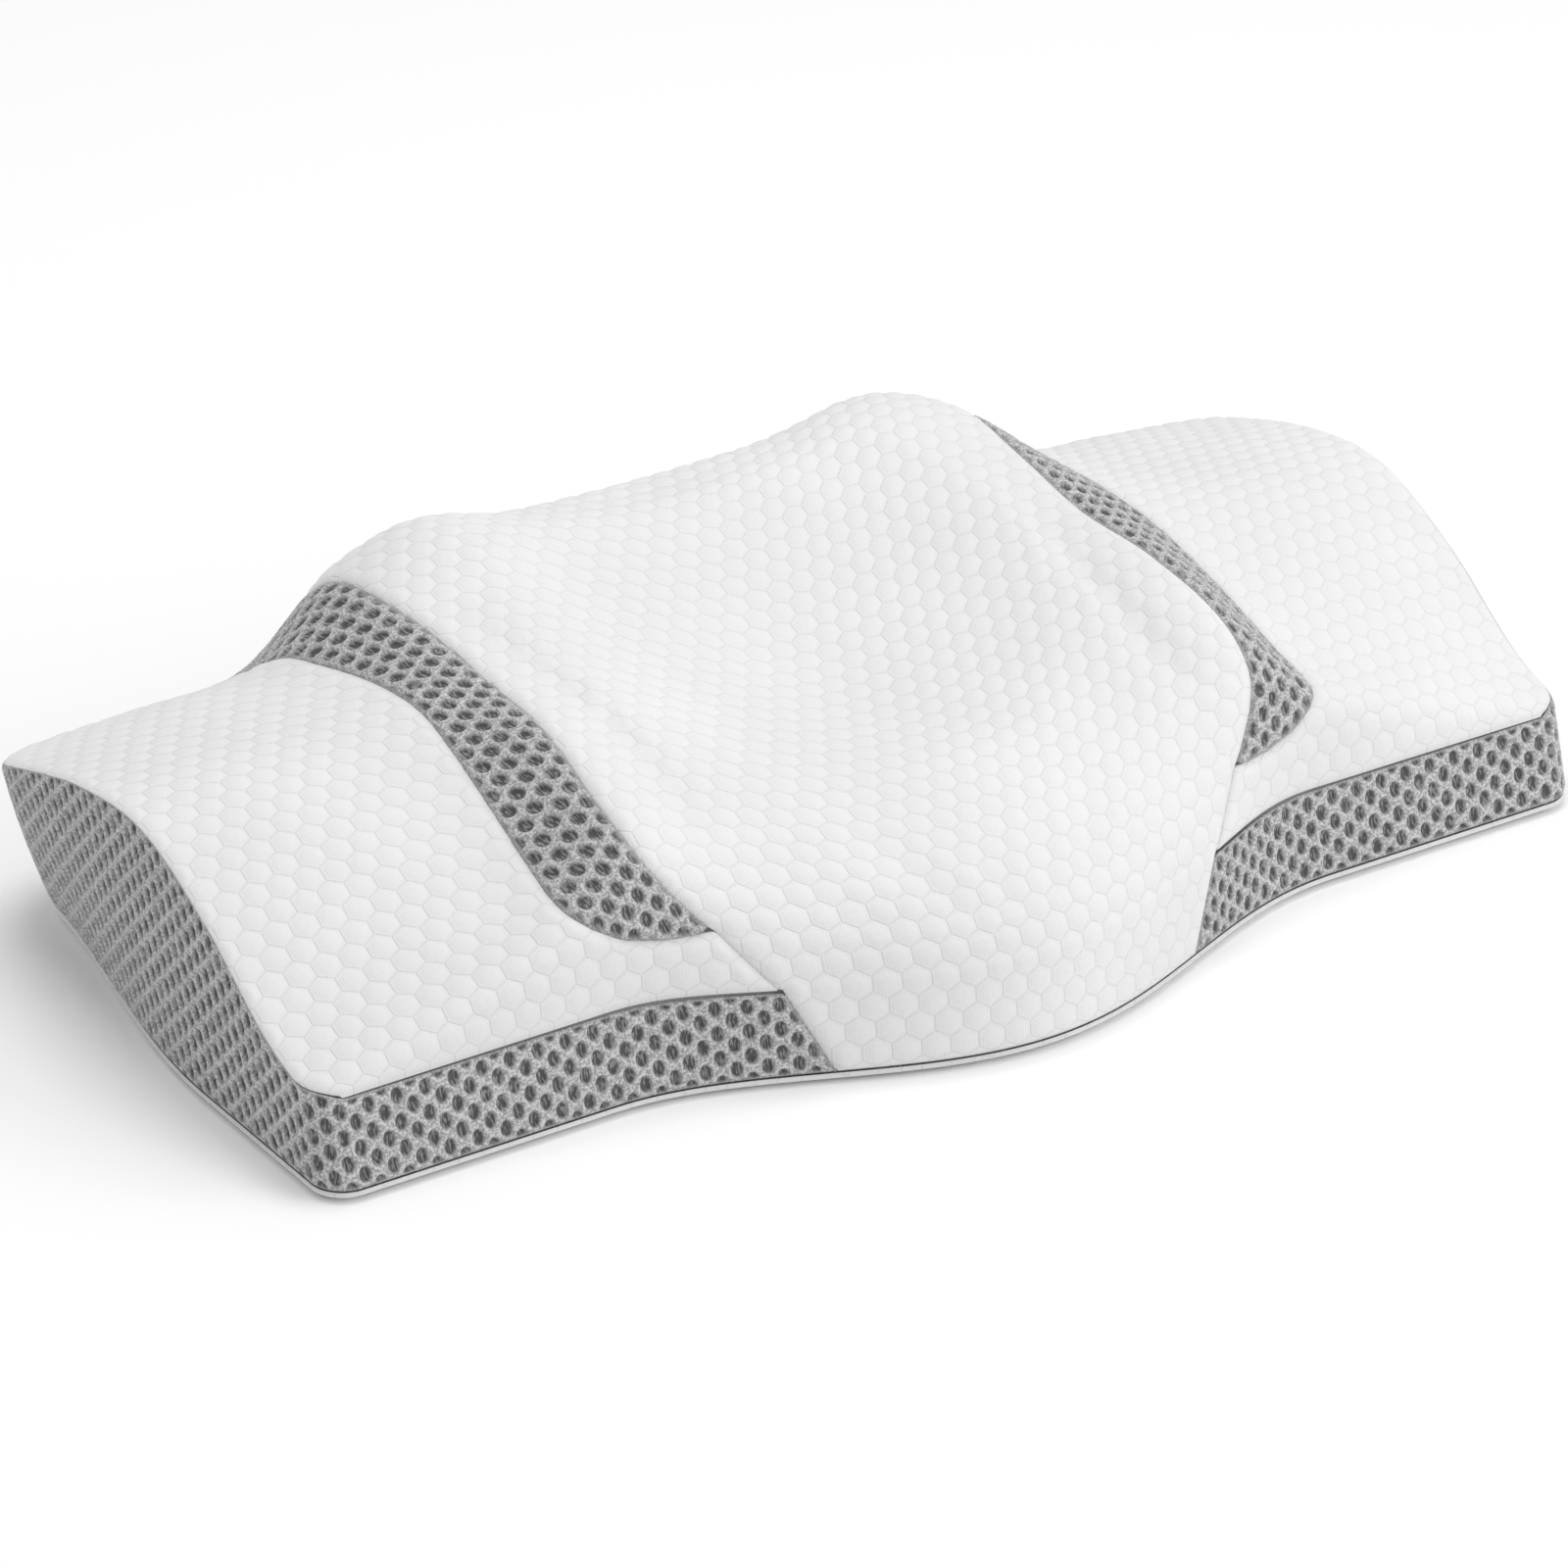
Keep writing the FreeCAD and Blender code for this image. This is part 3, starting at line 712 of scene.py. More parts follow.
def sew(name, points, fabric, keep, relief, turn, side=1):
    """A panel cut from a grid, with its relief and with edges that dip into the seams and turn inwards.
    turn gives the direction that seams face at points on the panel's edge."""
    points, fabric, quads, triangles = cut(points, fabric, keep)
    normals = normals_of(points, quads, triangles)
    middle = (0.0, 0.02, 0.045)
    if (normals * (points - middle)).sum() < 0:
        quads, triangles, normals = quads[:, ::-1], triangles[:, ::-1], -normals
    edges = rim_edges(quads, triangles)
    rim = np.unique(edges)
    tree = tree_of(points[rim])
    found = [tree.find(p) for p in points]
    gap = np.array([f[2] for f in found])
    near = np.array([f[1] for f in found])
    seam = turn(points[rim], normals[rim])
    if side < 0:
        points, normals, seam = points * MIRROR, normals * MIRROR, seam * MIRROR
        quads, triangles, edges = quads[:, ::-1], triangles[:, ::-1], edges[:, ::-1]
    height = relief(fabric[:, 0], fabric[:, 1], gap)
    dip_width = 3.2 * cover().seam_dip
    dip = cover().seam_dip * (1.0 - np.clip(gap / dip_width, 0.0, 1.0)) ** 2
    bulge = bulge_at(points)
    shaped = points + bulge + normals * height[:, None] - seam[near] * dip[:, None]
    shaped[:, 2] = np.maximum(shaped[:, 2], 0.0)
    tucked = shaped[rim] - seam * TUCK
    place = np.zeros(len(points), int)
    place[rim] = len(points) + np.arange(len(rim))
    lip = np.stack([edges[:, 1], edges[:, 0], place[edges[:, 0]], place[edges[:, 1]]], 1)
    every = np.concatenate([shaped, tucked])
    made = new_object(name, every, quads.tolist() + triangles.tolist() + lip.tolist())
    coords = np.concatenate([fabric, fabric[rim]])
    finish_mesh(made, coords, np.concatenate([np.exp(-(gap / SEAM_FADE) ** 2), np.ones(len(rim))]))
    return made


def finish_mesh(made, coords, seam=None):
    """Gives a mesh its fabric coordinates, its seam mask and smooth shading."""
    mesh = made.data
    loops = np.empty(len(mesh.loops), np.int32)
    mesh.loops.foreach_get("vertex_index", loops)
    layer = mesh.uv_layers.new(name="fabric")
    layer.data.foreach_set("uv", np.asarray(coords, np.float32)[loops].ravel())
    if seam is not None:
        mask = mesh.attributes.new("seam", "FLOAT", "POINT")
        mask.data.foreach_set("value", seam.astype(np.float32))
    mesh.polygons.foreach_set("use_smooth", np.ones(len(mesh.polygons), bool))
    mesh.update()


def top_turn(points, normals):
    """Seam direction on the top panels: straight up from a seam within the top, slanting at the walls."""
    rim, out = rim_line()
    tree = tree_of(rim)
    seam = normals.copy()
    for k, p in enumerate(points):
        _, index, gap = tree.find((abs(p[0]), p[1], p[2]))
        if gap < ON_RIM:
            seam[k] += out[index] * (1.0 if p[0] >= 0 else -1.0, 1.0, 1.0)
    return seam / np.linalg.norm(seam, axis=1)[:, None]


def wall_turn(points, normals):
    """Seam direction on the walls: slanting up at the top seam and down at the base seam."""
    tree = tree_of(rim_line()[0])
    seam = normals.copy()
    for k, p in enumerate(points):
        if p[2] < base_line(p[1]) + ON_BASE:
            seam[k] += (0.0, 0.0, -1.0)
        elif tree.find((abs(p[0]), p[1], p[2]))[2] < ON_RIM:
            seam[k] += (0.0, 0.0, 1.0)
    return seam / np.linalg.norm(seam, axis=1)[:, None]


def centre_turn(points, normals):
    """Seam direction on the middle panel, which has both a top and a front wall."""
    seam = top_turn(points, normals)
    low = points[:, 2] < base_line(points[:, 1]) + ON_BASE
    seam[low] = normals[low] + (0.0, 0.0, -1.0)
    return seam / np.linalg.norm(seam, axis=1)[:, None]


def turned(u, v, degrees):
    """Fabric coordinates turned on the cloth."""
    c, s = math.cos(math.radians(degrees)), math.sin(math.radians(degrees))
    return c * u - s * v, s * u + c * v


def unrolled(placed):
    """Fabric coordinates that run up the walls as well as back over the top."""
    return np.stack([placed[:, 0], placed[:, 1] + placed[:, 2]], 1)


def attach(made, body, node, material):
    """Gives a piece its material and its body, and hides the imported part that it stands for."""
    made.data.materials.clear()
    made.data.materials.append(material)
    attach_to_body(made, body)
    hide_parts(*node)


# ---------------------------------------------------------------- fabrics and finishes

def put(tree, kind, settings=None, inputs=None):
    """Adds a shader node with its settings and inputs; an input is a value or another node's output."""
    made = tree.nodes.new(kind)
    for key, value in (settings or {}).items():
        setattr(made, key, value)
    for key, value in (inputs or {}).items():
        if isinstance(value, bpy.types.NodeSocket):
            tree.links.new(value, made.inputs[key])
        else:
            made.inputs[key].default_value = value
    return made


def calc(tree, operation, *values):
    """A Math node's value."""
    return put(tree, "ShaderNodeMath", {"operation": operation}, dict(enumerate(values))).outputs[0]


def vector(tree, operation, *values, out="Vector"):
    """A Vector Math node's value."""
    return put(tree, "ShaderNodeVectorMath", {"operation": operation}, dict(enumerate(values))).outputs[out]


def ease(tree, value, low, high):
    """0 below low, 1 above high, smooth between."""
    made = put(tree, "ShaderNodeMapRange", {"interpolation_type": "SMOOTHSTEP"},
               {"Value": value, "From Min": low, "From Max": high})
    return made.outputs["Result"]


def blend_colour(tree, share, first, second):
    """A Mix node on colours."""
    made = put(tree, "ShaderNodeMix", {"data_type": "RGBA"}, {0: share})
    for socket, value in ((made.inputs[6], first), (made.inputs[7], second)):
        if isinstance(value, bpy.types.NodeSocket):
            tree.links.new(value, socket)
        else:
            socket.default_value = (*value, 1.0)
    return made.outputs[2]


def masked_mix(tree, mask, share, under, over):
    """The colour under, with the colour over laid on it by a mask and a share."""
    return blend_colour(tree, calc(tree, "MULTIPLY", mask, share), under, over)


def group(name, inputs, outputs):
    """An empty node group with named sockets; an input without a value is a vector."""
    tree = bpy.data.node_groups.new(name, "ShaderNodeTree")
    for label, value in inputs.items():
        kind = "NodeSocketVector" if value is None else "NodeSocketFloat"
        socket = tree.interface.new_socket(label, in_out="INPUT", socket_type=kind)
        if value is not None:
            socket.default_value = value
    for label in outputs:
        tree.interface.new_socket(label, in_out="OUTPUT", socket_type="NodeSocketFloat")
    return tree, tree.nodes.new("NodeGroupInput").outputs, tree.nodes.new("NodeGroupOutput").inputs


def eyelet_group():
    """Masks of the spacer mesh's eyelets: the hole, the lip round it and the strands across it."""
    if "Eyelets" in bpy.data.node_groups:
        return bpy.data.node_groups["Eyelets"]
    tree, given, out = group("Eyelets", {"Fabric": None, "Gap": 0.013, "Row": 0.0104, "Radius": 0.0026,
                                         "Shape": 0.76}, ["Hole", "Lip", "Strands"])
    halves = [calc(tree, "MULTIPLY", given[label], 0.5) for label in ("Gap", "Row")]
    half = put(tree, "ShaderNodeCombineXYZ", None, {0: halves[0], 1: halves[1], 2: 1.0}).outputs[0]
    back = vector(tree, "MULTIPLY", half, (-1.0, -1.0, -1.0))
    oval = put(tree, "ShaderNodeCombineXYZ", None, {0: 1.0, 1: given["Shape"], 2: 0.0}).outputs[0]
    sizes = []
    for source in (given["Fabric"], vector(tree, "SUBTRACT", given["Fabric"], half)):
        near = vector(tree, "WRAP", source, half, back)
        flat = vector(tree, "MULTIPLY", near, oval)
        sizes.append(vector(tree, "LENGTH", flat, out="Value"))
    away = calc(tree, "DIVIDE", calc(tree, "MINIMUM", *sizes), given["Radius"])
    tree.links.new(calc(tree, "SUBTRACT", 1.0, ease(tree, away, 0.78, 1.08)), out["Hole"])
    from_lip = calc(tree, "ABSOLUTE", calc(tree, "SUBTRACT", away, 1.32))
    tree.links.new(calc(tree, "SUBTRACT", 1.0, ease(tree, from_lip, 0.02, 0.34)), out["Lip"])
    drawn_out = vector(tree, "MULTIPLY", given["Fabric"], (1.0, 0.22, 1.0))
    grain = put(tree, "ShaderNodeTexNoise", None, {"Vector": drawn_out, "Scale": 1150.0, "Detail": 1.0})
    tree.links.new(ease(tree, grain.outputs[0], 0.50, 0.60), out["Strands"])
    return tree


def honeycomb_group():
    """Mask of the stitched lines between quilted hexagons."""
    if "Honeycomb" in bpy.data.node_groups:
        return bpy.data.node_groups["Honeycomb"]
    tree, given, out = group("Honeycomb", {"Fabric": None, "Cell": 0.0115}, ["Line"])
    cell = put(tree, "ShaderNodeCombineXYZ", None, {0: given["Cell"], 1: given["Cell"], 2: 1.0}).outputs[0]
    half = vector(tree, "MULTIPLY", (0.5, 0.5 * ROOT_3, 1.0), cell)
    back = vector(tree, "MULTIPLY", half, (-1.0, -1.0, -1.0))
    reach = []
    for source in (given["Fabric"], vector(tree, "SUBTRACT", given["Fabric"], half)):
        near = vector(tree, "ABSOLUTE", vector(tree, "WRAP", source, half, back))
        parts = put(tree, "ShaderNodeSeparateXYZ", None, {0: near}).outputs
        slanted = calc(tree, "ADD", calc(tree, "MULTIPLY", parts[0], 0.5),
                       calc(tree, "MULTIPLY", parts[1], 0.5 * ROOT_3))
        reach.append(calc(tree, "MAXIMUM", parts[0], slanted))
    share = calc(tree, "DIVIDE", calc(tree, "MINIMUM", *reach), given["Cell"])
    tree.links.new(ease(tree, share, 0.44, 0.5), out["Line"])
    return tree


def knit_group():
    """Height of fine knitted or woven loops."""
    if "Knit" in bpy.data.node_groups:
        return bpy.data.node_groups["Knit"]
    tree, given, out = group("Knit", {"Fabric": None, "Pitch": 0.0011}, ["Height"])
    turn = calc(tree, "DIVIDE", 2.0 * math.pi, given["Pitch"])
    scaled = put(tree, "ShaderNodeVectorMath", {"operation": "SCALE"},
                 {0: given["Fabric"], "Scale": turn}).outputs[0]
    parts = put(tree, "ShaderNodeSeparateXYZ", None, {0: scaled}).outputs
    across = calc(tree, "SINE", parts[0])
    along = calc(tree, "SINE", calc(tree, "ADD", parts[1], calc(tree, "MULTIPLY", across, 0.9)))
    total = calc(tree, "ADD", calc(tree, "MULTIPLY", across, 0.3), calc(tree, "MULTIPLY", along, 0.3))
    tree.links.new(calc(tree, "ADD", total, 0.5), out["Height"])
    return tree


def surface(name, roughness, sheen=0.0, metallic=0.0):
    """A new material with its shader's constant values."""
    material = bpy.data.materials.new(name)
    material.use_nodes = True
    tree = material.node_tree
    shader = tree.nodes["Principled BSDF"]
    shader.inputs["Roughness"].default_value = roughness
    shader.inputs["Metallic"].default_value = metallic
    shader.inputs["Sheen Weight"].default_value = sheen
    shader.inputs["Sheen Roughness"].default_value = 0.5
    return material, tree, shader


def bump(tree, shader, height, depth, strength):
    """Fine relief from a height."""
    made = put(tree, "ShaderNodeBump", None, {"Height": height, "Distance": depth, "Strength": strength})
    tree.links.new(made.outputs[0], shader.inputs["Normal"])


def fabric_coordinates(tree):
    """The piece's coordinates on its cloth."""
    return put(tree, "ShaderNodeUVMap", {"uv_map": "fabric"}).outputs[0]


def object_place(tree):
    """The place on the object."""
    return put(tree, "ShaderNodeTexCoord").outputs["Object"]


def cloudy(tree, scale, detail=3.0):
    """Slow variation over the object."""
    made = put(tree, "ShaderNodeTexNoise", None,
               {"Vector": object_place(tree), "Scale": scale, "Detail": detail})
    return made.outputs[0]


def seam_mask(tree):
    """1 at the piece's seams and 0 away from them."""
    return put(tree, "ShaderNodeAttribute", {"attribute_name": "seam"}).outputs["Fac"]


def knit_loops(tree, fabric, pitch):
    """Height of the cloth's own loops."""
    made = put(tree, "ShaderNodeGroup", {"node_tree": knit_group()}, {"Fabric": fabric, "Pitch": pitch})
    return made.outputs["Height"]


def quilt_material():
    """White quilted knit: stitched honeycomb lines with painted shade in their grooves, fine loops, and
    painted shade along the seams.
    """
    found = bpy.data.materials.get("quilted knit")
    if found:
        return found
    material, tree, shader = surface("quilted knit", 0.86, 0.12)
    base = np.array(cover().knit)
    fabric = fabric_coordinates(tree)
    line = put(tree, "ShaderNodeGroup", {"node_tree": honeycomb_group()},
               {"Fabric": fabric, "Cell": cover().cell}).outputs["Line"]
    loops = knit_loops(tree, fabric, 0.00125)
    soft = blend_colour(tree, ease(tree, cloudy(tree, 11.0), 0.35, 0.7), base * 0.955, base)
    # painted shade: the stitched lines are darkened for the shade in the grooves between the puffed cells
    groove_shaded = masked_mix(tree, line, 0.09, soft, base * 0.65)
    looped = masked_mix(tree, loops, 0.14, groove_shaded, base * 0.80)
    # painted shade: the knit is darkened along the seams for the shade where the cloth dips and turns in
    sewn = masked_mix(tree, seam_mask(tree), 0.16, looped, base * 0.45)
    tree.links.new(sewn, shader.inputs["Base Color"])
    height = calc(tree, "SUBTRACT", calc(tree, "MULTIPLY", loops, 0.25), line)
    bump(tree, shader, height, 0.0004, 0.55)
    return material


def mesh_material():
    """Grey spacer mesh: a speckled face with lipped eyelets, painted highlight on the lips, strands across
    painted shade inside the eyelets, and painted shade along the seams.
    """
    found = bpy.data.materials.get("spacer mesh")
    if found:
        return found
    material, tree, shader = surface("spacer mesh", 0.78, 0.05)
    yarn = np.array(cover().yarn)
    fabric = fabric_coordinates(tree)
    eyelets = put(tree, "ShaderNodeGroup", {"node_tree": eyelet_group()},
                  {"Fabric": fabric, "Gap": cover().eyelet_gap, "Row": cover().eyelet_row,
                   "Radius": cover().eyelet, "Shape": cover().eyelet_shape}).outputs
    loops = knit_loops(tree, fabric, 0.0010)
    seam = seam_mask(tree)
    open_share = calc(tree, "SUBTRACT", 1.0, seam)
    speckle = ease(tree, cloudy(tree, 900.0, 2.0), 0.38, 0.62)
    soft = blend_colour(tree, speckle, yarn * 0.70, yarn * 1.18)
    # painted highlight: the raised lips round the eyelets are lightened as if lit
    lip_highlighted = masked_mix(tree, eyelets["Lip"], speckle, soft, yarn * 1.55)
    looped = masked_mix(tree, loops, 0.25, lip_highlighted, yarn * 0.60)
    # painted shade: the dark colour inside the eyelets stands for the shade in the holes; the strands across
    # it are yarn
    inside = masked_mix(tree, eyelets["Strands"], 0.75, tuple(cover().eyelet_shade), yarn * 0.95)
    holed = masked_mix(tree, eyelets["Hole"], open_share, looped, inside)
    # painted shade: the mesh is darkened along the seams for the shade where the cloth dips and turns in
    sewn = masked_mix(tree, seam, 0.35, holed, yarn * 0.4)
    tree.links.new(sewn, shader.inputs["Base Color"])
    height = calc(tree, "ADD", *(calc(tree, "MULTIPLY", part, 0.5) for part in (loops, eyelets["Strands"])))
    bump(tree, shader, height, 0.0003, 0.6)
    return material


def cloth_material(name, tint, pitch, roughness=0.85, sheen=0.1, depth=0.0002):
    """Plain knitted or woven cloth."""
    found = bpy.data.materials.get(name)
    if found:
        return found
    material, tree, shader = surface(name, roughness, sheen)
    base = np.array(tint)
    loops = knit_loops(tree, fabric_coordinates(tree), pitch)
    soft = blend_colour(tree, ease(tree, cloudy(tree, 25.0), 0.3, 0.7), base * 0.93, base)
    tree.links.new(masked_mix(tree, loops, 0.3, soft, base * 0.7), shader.inputs["Base Color"])
    bump(tree, shader, loops, depth, 0.7)
    return material


def foam_material():
    """Moulded foam: fine pores with painted shade in them, slow yellowing, a smooth skin."""
    material, tree, shader = surface("memory foam", 0.75, 0.05)
    base = np.array(bpy.context.scene.pillow_filling.foam)
    pores = put(tree, "ShaderNodeTexVoronoi", None, {"Vector": object_place(tree), "Scale": 420.0}).outputs[0]
    open_pores = calc(tree, "SUBTRACT", 1.0, ease(tree, pores, 0.05, 0.30))
    soft = blend_colour(tree, ease(tree, cloudy(tree, 7.0), 0.3, 0.7), base * (1.0, 0.97, 0.88), base)
    # painted shade: the pores are darkened for the shade inside them
    tree.links.new(masked_mix(tree, open_pores, 0.5, soft, base * 0.7), shader.inputs["Base Color"])
    bump(tree, shader, calc(tree, "MULTIPLY", open_pores, -1.0), 0.0005, 0.7)
    return material


def worn_material(name, tint, roughness, metallic):
    """Metal or nylon with fine scratches and duller patches."""
    found = bpy.data.materials.get(name)
    if found:
        return found
    material, tree, shader = surface(name, roughness, metallic=metallic)
    base = np.array(tint)
    stretched = vector(tree, "MULTIPLY", object_place(tree), (180.0, 2600.0, 2600.0))
    noise = put(tree, "ShaderNodeTexNoise", None, {"Vector": stretched, "Scale": 1.0, "Detail": 2.0})
    scratches = noise.outputs[0]
    patches = ease(tree, cloudy(tree, 700.0, 2.0), 0.35, 0.7)
    tree.links.new(blend_colour(tree, patches, base * 0.86, base), shader.inputs["Base Color"])
    rough = put(tree, "ShaderNodeMapRange", None, {"Value": scratches, "To Min": roughness * 0.8,
                                                   "To Max": min(1.0, roughness * 1.35)}).outputs[0]
    tree.links.new(rough, shader.inputs["Roughness"])
    bump(tree, shader, scratches, 0.00004, 0.5)
    return material


def zip_metal():
    """The metal of the slider, the pull and the stops."""
    return worn_material("zip metal", bpy.context.scene.pillow_zip.metal, 0.28, 1.0)


# ---------------------------------------------------------------- pieces

class PILLOW_OT_stuffing(bpy.types.Operator):
    """Works out how far the filling swells the cover between its seams"""
    bl_idname = "pillow.stuffing"
    bl_label = "Stuff the cover"

    def execute(self, context):
        stuff()
        return {"FINISHED"}


class PILLOW_OT_quilted_panels(bpy.types.Operator):
    """Sews the middle panel and the two wings of quilted knit"""
    bl_idname = "pillow.quilted_panels"
    bl_label = "Quilted panels"

    def execute(self, context):
        s = shape()
        step = cover().quilt_step
        centre_half = 0.1705
        points, fabric = top_sheet(-centre_half, centre_half, step, True)
        x, y, z = points[..., 0], points[..., 1], points[..., 2]
        on_wall = (z < s.front_seam - 1e-5) & (y < 0.0)
        keep = np.where(on_wall, flap_edge(z) - np.abs(x), inside_seam(INNER_SEAM, x, y))
        keep = np.minimum(keep, s.back - y)
        panel = sew("centre_panel", points, fabric, keep, quilted, centre_turn)
        attach(panel, "pillow", ["cover_centre_panel"], quilt_material())
        points, fabric = top_sheet(0.095, 0.5 * s.width + 0.004, step, False)
        x, y = points[..., 0], points[..., 1]
        keep = np.minimum(inside_rim(x, y), -inside_seam(OUTER_SEAM, x, y))
        for name, side in SIDES:
            panel = sew("wing_panel_" + name, points, fabric, keep, quilted, top_turn, side)
            attach(panel, "pillow", ["cover_wing_" + name], quilt_material())
        return {"FINISHED"}


class PILLOW_OT_base_panel(bpy.types.Operator):
    """Makes the quilted panel that the pillow rests on"""
    bl_idname = "pillow.base_panel"
    bl_label = "Base panel"

    def execute(self, context):
        points = rings(BASE_DETAIL, whole=False)
        flat = points.reshape(-1, 3)
        faces = ring_mesh(points)
        normals = normals_of(flat, faces, np.empty((0, 3), int))
        if normals[:, 2].sum() > 0:
            faces, normals = faces[:, ::-1], -normals
        low = base_line(flat[:, 1])
        gap = low - flat[:, 2]
        line_gap = hexagon_gap(flat[:, 0], flat[:, 1], cover().cell)
        cells = cover().puff * (1.0 - smooth_step(line_gap, 0.0, 0.0037))
        inner = smooth_step(gap / low, 0.64, 0.98)
        flat[:, 2] += cells * inner
        edge = smooth_step(-gap / low, -0.36, 0.0)
        flat -= normals * (1, 1, 0) * (cover().seam_dip * 0.9 * edge ** 2)[:, None]
        base = new_object("base_panel", flat, faces.tolist())
        only(base)
        finish_with(base, "WELD", merge_threshold=BASE_WELD)
        placed = vertex_array(base.data)
        finish_mesh(base, placed[:, :2], smooth_step(placed[:, 2] / base_line(placed[:, 1]), 0.80, 1.05))
        attach(base, "pillow", ["bottom_panel"], quilt_material())
        return {"FINISHED"}


class PILLOW_OT_mesh_panels(bpy.types.Operator):
    """Sews the spacer mesh: two strips on top, two side gussets and the back gusset with the zip's opening"""
    bl_idname = "pillow.mesh_panels"
    bl_label = "Mesh panels"

    def execute(self, context):
        s = shape()
        step = cover().mesh_step
        points, fabric = top_sheet(0.122, 0.206, step, False)
        x, y = points[..., 0], points[..., 1]
        tip = front() + 0.022 * s.wing_depth
        between = np.minimum(-inside_seam(INNER_SEAM, x, y), inside_seam(OUTER_SEAM, x, y))
        keep = np.minimum(between, np.minimum(s.back - y, y - tip))
        fabric = np.stack(turned(fabric[..., 0], fabric[..., 1], 8.0), -1)
        for name, side in SIDES:
            panel = sew("strip_" + name, points, fabric, keep, eyeleted, top_turn, side)
            self.hang(panel, "mesh_strip_" + name)
        place, run = even_places(step, 0.27, 3.95)
        points, fabric = wall_sheet(place, run, step)
        x, y, z = points[..., 0], points[..., 1], points[..., 2]
        keep = np.where(y < 0.0, x - flap_edge(z), x - s.back_gusset)
        for name, side in SIDES:
            panel = sew("gusset_" + name, points, fabric, keep, eyeleted, wall_turn, side)
            self.hang(panel, "side_gusset_" + name)
        place, run = even_places(step, 3.3, 5.0)
        half, half_fabric = wall_sheet(place, run - run[-1], step)
        points = np.concatenate([half, half[:, -2::-1] * MIRROR], 1)
        fabric = np.concatenate([half_fabric, half_fabric[:, -2::-1] * (-1, 1)], 1)
        x, z = points[..., 0], points[..., 2]
        slot = np.maximum(np.abs(x) - s.zip_half, z - s.base_seam - s.zip_height)
        keep = np.minimum(s.back_gusset - np.abs(x), slot)
        panel = sew("rear_gusset", points, fabric, keep, eyeleted, wall_turn)
        self.hang(panel, "back_gusset")
        return {"FINISHED"}

    @staticmethod
    def hang(panel, node):
        """Attaches the panel to the pillow with the spacer mesh material."""
        attach(panel, "pillow", [node], mesh_material())


class PILLOW_OT_filling(bpy.types.Operator):
    """Makes the moulded foam core and the two halves of the liner round it"""
    bl_idname = "pillow.filling"
    bl_label = "Filling"

    @staticmethod
    def body(name, inset, step):
        """The pillow's shape drawn in by inset all round, as an even closed mesh."""
        made = closed_body(name, step)
        finish_with(made, "DISPLACE", strength=-inset, mid_level=0.0)
        finish_with(made, "SMOOTH", factor=0.5, iterations=3)
        return made

    def execute(self, context):
        f = context.scene.pillow_filling
        core = self.body("foam_body", f.cover + f.liner + 0.0004, f.detail)
        finish_mesh(core, unrolled(vertex_array(core.data)))
        attach(core, "pillow", ["foam_core"], foam_material())
        jersey = cloth_material("liner jersey", f.jersey, 0.0009)
        for name, above in (("liner_upper", True), ("liner_lower", False)):
            half = self.body(name, f.cover, f.detail)
            bpy.ops.object.mode_set(mode="EDIT")
            bpy.ops.mesh.select_all(action="SELECT")
            bpy.ops.mesh.bisect(plane_co=(0.0, 0.0, f.seam), plane_no=(0.0, 0.0, 1.0), clear_inner=above,
                                clear_outer=not above)
            bpy.ops.object.mode_set(mode="OBJECT")
            placed = vertex_array(half.data)
            from_seam = np.abs(placed[:, 2] - f.seam)
            finish_mesh(half, unrolled(placed), np.exp(-(from_seam / 0.002) ** 2))
            finish_with(half, "SOLIDIFY", thickness=f.liner, offset=-1.0)
            node = "liner_top" if above else "liner_bottom"
            attach(half, "pillow", [node], jersey)
        return {"FINISHED"}


def slab(name, low, high, corner, edge, axis=1):
    """A bar between two corners: the edges along axis rounded by corner, then every sharp edge softened."""
    low, high = Vector(low), Vector(high)
    bpy.ops.object.select_all(action="DESELECT")
    bpy.ops.mesh.primitive_cube_add(size=1.0, location=(low + high) / 2, scale=high - low)
    made = bpy.context.object
    made.name = name
    made.data.name = name
    bpy.ops.object.transform_apply(location=True, rotation=True, scale=True)
    bpy.ops.object.mode_set(mode="EDIT")
    if corner:
        pick_edges(lambda a, b: abs(abs((b - a).normalized()[axis]) - 1.0) < 1e-4)
        bpy.ops.mesh.bevel(offset=corner, segments=5, affect="EDGES")
    bpy.ops.mesh.select_all(action="DESELECT")
    bpy.ops.mesh.edges_select_sharp(sharpness=math.radians(60.0))
    bpy.ops.mesh.bevel(offset=edge, segments=2, affect="EDGES")
    bpy.ops.object.mode_set(mode="OBJECT")
    return made


def pick_edges(test):
    """Selects the edges whose two ends pass a test, in edit mode."""
    bpy.ops.mesh.select_mode(type="EDGE")
    bpy.ops.mesh.select_all(action="DESELECT")
    bpy.ops.object.mode_set(mode="OBJECT")
    mesh = bpy.context.object.data
    for e in mesh.edges:
        e.select = test(mesh.vertices[e.vertices[0]].co, mesh.vertices[e.vertices[1]].co)
    bpy.ops.object.mode_set(mode="EDIT")


def pick_faces(test):
    """Selects the faces that pass a test, in edit mode."""
    bpy.ops.mesh.select_mode(type="FACE")
    bpy.ops.mesh.select_all(action="DESELECT")
    bpy.ops.object.mode_set(mode="OBJECT")
    for p in bpy.context.object.data.polygons:
        p.select = test(p.center, p.normal)
    bpy.ops.object.mode_set(mode="EDIT")


def carve(made, cutter):
    """Takes one shape out of another."""
    only(made)
    finish_with(made, "BOOLEAN", operation="DIFFERENCE", solver="EXACT", object=cutter)
    drop(cutter)


def joined(name, parts):
    """Several shapes as one piece, shaded smooth by angle."""
    bpy.ops.object.select_all(action="DESELECT")
    for p in parts:
        p.select_set(True)
    bpy.context.view_layer.objects.active = parts[0]
    if len(parts) > 1:
        bpy.ops.object.join()
    made = bpy.context.object
    made.name = name
    made.data.name = name
    bpy.ops.object.shade_smooth_by_angle(angle=math.radians(40.0))
    return made


